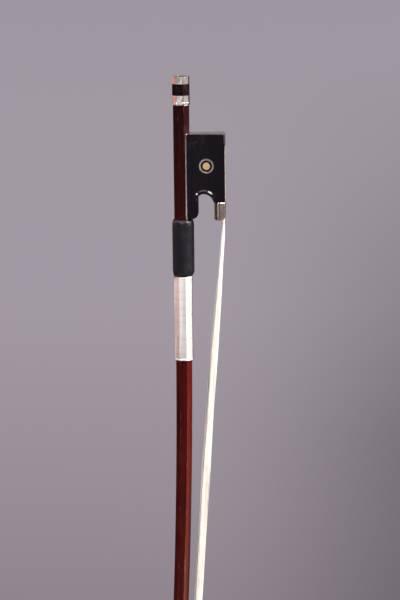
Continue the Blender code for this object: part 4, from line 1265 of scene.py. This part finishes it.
# ------------------------------------------------------------------ grip
def leather_grip():
    """Thin leather drawn round the octagon: its skived ends show the facets, the middle is round."""
    rows, sides = [], 96
    length = LEATHER_TOP - LEATHER_LOW
    stations = [0.0, 0.1, 0.3, 0.6, 1.0, 1.5, 2.1, 2.8] + \
        [3.6 + (length - 7.2) * i / 40 for i in range(41)] + \
        [length - x for x in (2.8, 2.1, 1.5, 1.0, 0.6, 0.3, 0.1, 0.0)]
    for d in stations:
        z = LEATHER_TOP - d
        top, foot = d, length - d
        # shoulder: how much the leather has thinned towards each end
        a = 1 - math.sqrt(max(0.0, 1 - (1 - min(1.0, top / 2.4)) ** 2))
        b = 1 - math.sqrt(max(0.0, 1 - (1 - min(1.0, foot / 2.6)) ** 2))
        thin = max(a, b)
        facets = 0.12 + 0.75 * smooth(max(1 - top / 3.5, 1 - foot / 3.5))
        row = []
        for i in range(sides):
            t = 2 * math.pi * i / sides
            # radius of the octagon in this direction
            u = (t + math.pi / 8) % (math.pi / 4) - math.pi / 8
            flat_r = (LEATHER_R - 0.42) / math.cos(u)
            flat_r = min(flat_r, (LEATHER_R - 0.42) / math.cos(math.pi / 8) - 0.12)
            r = LEATHER_R * (1 - facets) + flat_r * facets
            r -= thin * 1.02
            p = Vector((math.cos(t) * 2.2, math.sin(t) * 2.2, z * 0.55))
            r += 0.05 * noise.noise(p) * (1 - thin)
            q = Vector((math.cos(t) * 5.0, math.sin(t) * 5.0, z * 3.2 + 7.0))
            r += 0.028 * noise.noise(q) * (1 - thin)
            # small puckers where the skin is drawn in at both ends
            near_end = math.exp(-((top - 1.9) / 1.1) ** 2) + 0.8 * math.exp(-((foot - 1.6) / 1.0) ** 2)
            r += 0.19 * near_end * noise.noise(Vector((math.cos(t) * 5.5, math.sin(t) * 5.5, z * 1.3)))
            # the overlap: one side of the seam lies a skin higher, along the hair side
            seam = (t - 0.55 + math.pi) % (2 * math.pi) - math.pi
            r += 0.16 * smooth(1 - abs(seam + 0.25) / 0.26) * (1 if seam < 0 else 0)
            shift = LEATHER_SHIFT * (1 - thin)
            row.append((shift + r * math.cos(t), r * math.sin(t), z))
        rows.append(row)
    ob = loft("leather_wrap", rows)
    bore = loft("bore", [[(x, y, z) for x, y in octagon(HANDLE_FLATS + 0.06)] for z in (10.0, -90.0)])
    return carve(ob, bore)


show(shade(leather_grip(), 50, False), LEATHER, "stick", "leather", "leather_grip")


def wire_winding():
    """Fine silver wire, wound turn by turn round the octagon from the leather down: every turn is a
    ridge that climbs one pitch per round, and the soldered turns at the ends stand a little proud."""
    wire_r, pitch, per_turn = 0.2, 0.4, 7
    base, _ = round_ring(octagon(WINDING_FLATS), 0.35, 3, 0.25)
    inner, _ = round_ring(octagon(HANDLE_FLATS + 0.06), 0.05, 3, 0.25)
    lengths = [0.0]
    for a, b in zip(base, base[1:] + base[:1]):
        lengths.append(lengths[-1] + (Vector(b) - Vector(a)).length)
    steps = round((WINDING_TOP - WINDING_LOW) / pitch * per_turn)
    rings = []
    for i in range(steps + 1):
        z = WINDING_TOP + (WINDING_LOW - WINDING_TOP) * i / steps
        end = min(WINDING_TOP - z, z - WINDING_LOW)
        lip = 0.13 * smooth((WINDING_LOW + 1.1 - z) / 0.5) + 0.05 * smooth((z - WINDING_TOP + 0.9) / 0.4)
        ring = []
        for k, p in enumerate(base):
            phase = (i / per_turn + lengths[k] / lengths[-1]) % 1.0
            dip = wire_r * (1 - math.sqrt(1 - (0.76 * (2 * phase - 1)) ** 2))
            dip += 0.14 * smooth(1 - end / 0.2)
            q = p * (1 + (lip - dip) / (WINDING_FLATS / 2))
            ring.append((q.x, q.y, z))
        rings.append(ring)
    for z in (WINDING_LOW, WINDING_TOP):
        rings.append([(q.x, q.y, z) for q in inner])
    return loft("silver_winding", rings, closed=True)


show(shade(wire_winding(), 45, False), WIRE, "stick", "silver_wire", "wire_winding")


# ------------------------------------------------------------------ hair
HEAD_EDGE = head_point(-0.4, -HAIR_OUT, 0)


def hair_share(z):
    return min(1.0, max(0.0, (HAIR_EXIT_Z - z) / (HAIR_EXIT_Z - HEAD_EDGE[2])))


def free_hair(z):
    t = hair_share(z)
    waver = monotone([(0, 0), (0.012, 0.24), (0.05, 0.16), (0.09, -0.12), (0.15, -0.22),
                      (0.213, -0.36), (0.28, -0.18), (0.35, 0.06), (0.5, 0.0), (1.0, 0.0)], t)
    return (HAIR_EXIT_X + (HEAD_EDGE[0] - HAIR_EXIT_X) * t
            + HAIR_BULGE * math.sin(math.pi * t) ** 2 + waver)


def hair_twist(z):
    return monotone([(0, 0), (0.012, 6.0), (0.03, 7.5), (0.06, 11.5), (0.09, 16.3), (0.13, 20.5),
                     (0.17, 20.5), (0.213, 24.0), (0.26, 20.5), (0.33, 20.0), (0.6, 16.0),
                     (0.85, 11.0), (0.95, 3.0), (1.0, 0.0)], hair_share(z))


def hair_route():
    """x, z, half width, half thickness, twist in degrees, looseness of the strands."""
    path = [(17.45, 30.75, 2.5, 0.34, 0, 0), (19.2, 30.75, 2.7, 0.34, 0, 0), (19.85, 30.6, 2.9, 0.34, 0, 0),
            (20.25, 30.2, 3.0, 0.34, 0, 0), (20.38, 29.6, 3.1, 0.34, 0, 0), (20.38, 20.0, 3.15, 0.34, 0, 0),
            (20.38, 10.8, 3.15, 0.34, 0, 0), (20.6, 9.8, 3.15, 0.34, 0, 0), (21.6, 7.6, 4.5, 0.34, 0, 0),
            (22.0, 6.4, 4.8, 0.34, 0, 0), (22.1, 5.2, 4.9, 0.34, 0, 0), (22.12, 1.5, 5.0, 0.34, 0, 0)]
    z = HAIR_EXIT_Z
    while z > PLATE_HEEL_Z + 8:
        t = hair_share(z)
        gather = smooth(t / 0.1) * smooth((1 - t) / 0.12)
        wide = 5.0 - 0.6 * gather - (1.9 * smooth((t - 0.88) / 0.12) if t > 0.88 else 0.0)
        path.append((free_hair(z), z, wide, 0.36 + 0.42 * gather, hair_twist(z), gather))
        z -= 3.0 if z > -40 else (12.0 if z > -600 else 8.0)
    for s, h, wide in ((-3.5, -HAIR_OUT, 2.85), (0.6, -HAIR_OUT, 2.7), (1.6, -HAIR_OUT + 0.05, 2.65),
                       (2.25, -HAIR_OUT + 0.35, 2.65), (2.5, 0.1, 2.65), (2.55, 1.0, 2.65),
                       (2.55, 6.9, 2.5)):
        x, _, zz = head_point(s, h, 0)
        path.append((x, zz, wide, 0.34, 0.0, 0.0))
    return path


def hair_hank():
    """About 170 single hairs lying in a flat band, each with its own path and tone."""
    route = hair_route()
    frames = []
    for i, (x, z, wide, thick, twist, loose) in enumerate(route):
        before, after = route[max(0, i - 1)], route[min(len(route) - 1, i + 1)]
        run = Vector((after[0] - before[0], 0, after[1] - before[1])).normalized()
        normal = Vector((0, 1, 0)).cross(run)
        side = Vector((0, 1, 0))
        a = math.radians(twist)
        frames.append((Vector((x, 0, z)), side * math.cos(a) - normal * math.sin(a),
                       normal * math.cos(a) + side * math.sin(a), run, wide, thick, loose))
    pick = random.Random(5)
    bm = bmesh.new()
    tone = bm.verts.layers.float.new("tone")
    layers, across, sides, hair_r = 3, 57, 5, 0.105
    for layer in range(layers):
        for k in range(across):
            u0 = (k + 0.5 + (layer % 2) * 0.5) / (across + 0.5) * 2 - 1
            u0 += pick.uniform(-0.010, 0.010)
            v0 = (layer - (layers - 1) / 2) * 0.72 + pick.uniform(-0.08, 0.08)
            phase, wave = pick.uniform(0, 6.28), pick.uniform(0.008, 0.022)
            period, drift = pick.uniform(90, 240), pick.uniform(-0.012, 0.012)
            shade_of = min(1.0, max(0.0, pick.gauss(0.62, 0.24)))
            radius = hair_r * pick.uniform(0.88, 1.1)
            rows = []
            for mid, wide_dir, thick_dir, run, wide, thick, loose in frames:
                u = u0 + loose * (wave * math.sin(mid.z / period * 6.28 + phase) + drift)
                u = max(-1.0, min(1.0, u))
                v = v0 + loose * 0.35 * math.sin(mid.z / (period * 0.7) * 6.28 + phase * 2)
                v = max(-0.95, min(0.95, v))
                reach = wide - radius
                here = mid + wide_dir * u * reach + thick_dir * v * (thick - radius * 0.6)
                row = []
                for s in range(sides):
                    t = 2 * math.pi * s / sides
                    vert = bm.verts.new((here + wide_dir * radius * math.cos(t)
                                         + thick_dir * radius * math.sin(t)) * MM)
                    vert[tone] = shade_of
                    row.append(vert)
                rows.append(row)
            for one, two in zip(rows, rows[1:]):
                for i in range(sides):
                    j = (i + 1) % sides
                    bm.faces.new((one[i], one[j], two[j], two[i]))
            bm.faces.new(rows[0])
            bm.faces.new(list(reversed(rows[-1])))
    return new_piece("horsehair_band", bm)


hair = show(shade(hair_hank(), 80, False), HORSEHAIR, None, "horsehair", "hair_ribbon")
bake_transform(hair)


# ------------------------------------------------------------------ floor, light and air
def floor():
    low = cad_low[2] - 0.0006
    bm = bmesh.new()
    bmesh.ops.create_grid(bm, x_segments=40, y_segments=40, size=120.0)
    for v in bm.verts:
        v.co.z = low
    ob = new_piece("studio_floor", bm)
    f = Finish("floor", Roughness=0.8, Specular_IOR_Level=0.0)
    f.set("Base Color", (0.020, 0.018, 0.020))
    # a wide soft pool of light on pale paper, paler behind the object, falling off in front and
    # towards the hair side, with a paper-fine unevenness
    apart = f.add('ShaderNodeSeparateXYZ')
    f.link(f.place, apart.inputs[0])
    away = f.math('MAXIMUM', f.math('ADD', apart.outputs["Y"], 1.2), 1.6)
    near = f.math('DIVIDE', 1.0, away)
    side = f.math('DIVIDE', f.math('SUBTRACT', apart.outputs["X"], 0.05), away)
    glow = f.ramp(f.scaled(near, 0.05, 0.45, 0.0, 1.0), (0.0, (0.340, 0.306, 0.350)),
                  (0.10, (0.346, 0.312, 0.357)), (0.25, (0.356, 0.320, 0.364)),
                  (0.45, (0.352, 0.313, 0.358)), (0.71, (0.284, 0.248, 0.288)),
                  (0.86, (0.238, 0.206, 0.242)), (1.0, (0.225, 0.194, 0.229)))
    fall = f.ramp(f.scaled(side, -0.060, 0.110, 0.0, 1.0), (0.0, (0, 0, 0)), (1.0, (0.62, 0.62, 0.62)),
                  ease='EASE')
    fall = f.math('MULTIPLY', f.math('MINIMUM', fall, 0.44), f.scaled(near, 0.10, 0.30, 0.0, 1.0))
    glow = f.mix(fall, glow, (0.0, 0.0, 0.0))
    # the pool of light lies behind the object; all round it the paper is even
    behind = f.ramp(f.scaled(apart.outputs["Y"], -0.6, 1.3, 0.0, 1.0), (0.0, 0.0), (1.0, 1.0), ease='EASE')
    middle = f.ramp(f.scaled(f.math('ABSOLUTE', f.math('ADD', side, 0.05)), 0.10, 0.42, 0.0, 1.0),
                    (0.0, 1.0), (1.0, 0.0), ease='EASE')
    glow = f.mix(f.math('MULTIPLY', behind, middle), (0.320, 0.286, 0.328), glow)
    mottle = f.noise(1.3, detail=3)
    glow = f.mix(f.scaled(mottle, 0.3, 0.7, 0.0, 0.05), glow, (0.34, 0.31, 0.35))
    eye = f.add('ShaderNodeLightPath').outputs["Is Camera Ray"]
    f.set("Emission Color", f.mix(eye, (0.035, 0.032, 0.036), glow))
    f.set("Emission Strength", 1.0)
    # seen from underneath the floor is open, so that the object shows from below too
    out = f.tree.nodes["Material Output"]
    side = f.add('ShaderNodeNewGeometry').outputs["Backfacing"]
    clear = f.add('ShaderNodeBsdfTransparent').outputs[0]
    both = f.add('ShaderNodeMixShader')
    f.link(side, both.inputs[0])
    f.link(f.shader.outputs[0], both.inputs[1])
    f.link(clear, both.inputs[2])
    f.link(both.outputs[0], out.inputs["Surface"])
    ob.data.materials.append(f.mat)
    for poly in ob.data.polygons:
        if poly.normal.z < 0:
            poly.flip()


floor()


def air():
    world = bpy.data.worlds.new("studio")
    bpy.context.scene.world = world
    world.use_nodes = True
    tree = world.node_tree
    back = tree.nodes["Background"]
    back.inputs["Color"].default_value = (0.060, 0.056, 0.062, 1.0)
    back.inputs["Strength"].default_value = 1.0
    seen = tree.nodes.new('ShaderNodeBackground')
    seen.inputs["Color"].default_value = (0.35, 0.32, 0.36, 1.0)
    path = tree.nodes.new('ShaderNodeLightPath')
    mix = tree.nodes.new('ShaderNodeMixShader')
    tree.links.new(path.outputs["Is Camera Ray"], mix.inputs[0])
    tree.links.new(back.outputs[0], mix.inputs[1])
    tree.links.new(seen.outputs[0], mix.inputs[2])
    tree.links.new(mix.outputs[0], tree.nodes["World Output"].inputs["Surface"])


air()


def softbox(name, azimuth, elevation, distance, wide, tall, radiance, colour=(1, 1, 1)):
    """A soft panel that faces the frog.  azimuth 0 is the photographer's side, 90 the hair side."""
    a, e = math.radians(azimuth), math.radians(elevation)
    out = Vector((math.sin(a) * math.cos(e), -math.cos(a) * math.cos(e), math.sin(e)))
    data = bpy.data.lights.new(name, 'AREA')
    data.shape = 'RECTANGLE'
    data.size, data.size_y = wide, tall
    data.energy = radiance * math.pi * wide * tall
    data.color = colour
    ob = bpy.data.objects.new(name, data)
    bpy.context.scene.collection.objects.link(ob)
    ob.location = out * distance + Vector((0, 0, -0.05))
    ob.rotation_euler = (-out).to_track_quat('-Z', 'Y').to_euler()
    ob.visible_camera = False


softbox("key_right", 80, 33, 2.6, 1.3, 1.3, 50.0, (1.0, 0.95, 0.90))
softbox("overhead", -4, 42, 1.5, 0.20, 0.80, 23.5)
softbox("front_left", -69, 42, 1.5, 0.46, 0.42, 15.0, (1.0, 0.95, 0.92))
softbox("front_right", 33, 42, 1.5, 0.24, 0.30, 9.0, (1.0, 0.97, 0.95))
softbox("left_strip", -95, 20, 1.6, 0.30, 0.5, 8.8, (1.0, 0.80, 0.73))
softbox("strip_card", -3.4, -9.8, 1.9, 0.26, 0.12, 2.0, (1.0, 0.84, 0.82))
softbox("throat_right", -43, -36, 0.85, 0.18, 0.13, 14.0)
softbox("throat_left", 26, -31, 0.85, 0.14, 0.13, 22.0)
softbox("throat_fill", -9, -42, 0.84, 0.50, 0.06, 2.2)
softbox("side_card", -17, -5.6, 1.9, 0.62, 0.26, 0.08)
softbox("button_front", -15.5, -3.4, 1.9, 0.34, 0.20, 1.04, (1.0, 0.93, 0.90))
softbox("button_right", 74, -3.5, 1.5, 0.34, 0.22, 0.60, (1.0, 0.95, 0.93))
softbox("button_left", -107, -4.6, 1.5, 0.36, 0.26, 0.88, (1.0, 0.50, 0.44))
softbox("warm_left", -72, -6.5, 1.3, 0.5, 0.4, 0.90, (1.0, 0.62, 0.54))
softbox("rear_left", -152, -7, 1.4, 0.8, 0.3, 0.21, (0.95, 1.0, 0.86))
softbox("rear", 183, 8, 1.5, 0.8, 0.35, 0.20, (0.97, 0.96, 1.0))
softbox("back_fill", 180, 48, 2.5, 1.5, 1.2, 1.0)

scene = bpy.context.scene
scene.view_settings.view_transform = 'Standard'
scene.view_settings.look = 'None'
scene.view_settings.exposure = 0.0
scene.view_settings.gamma = 1.0
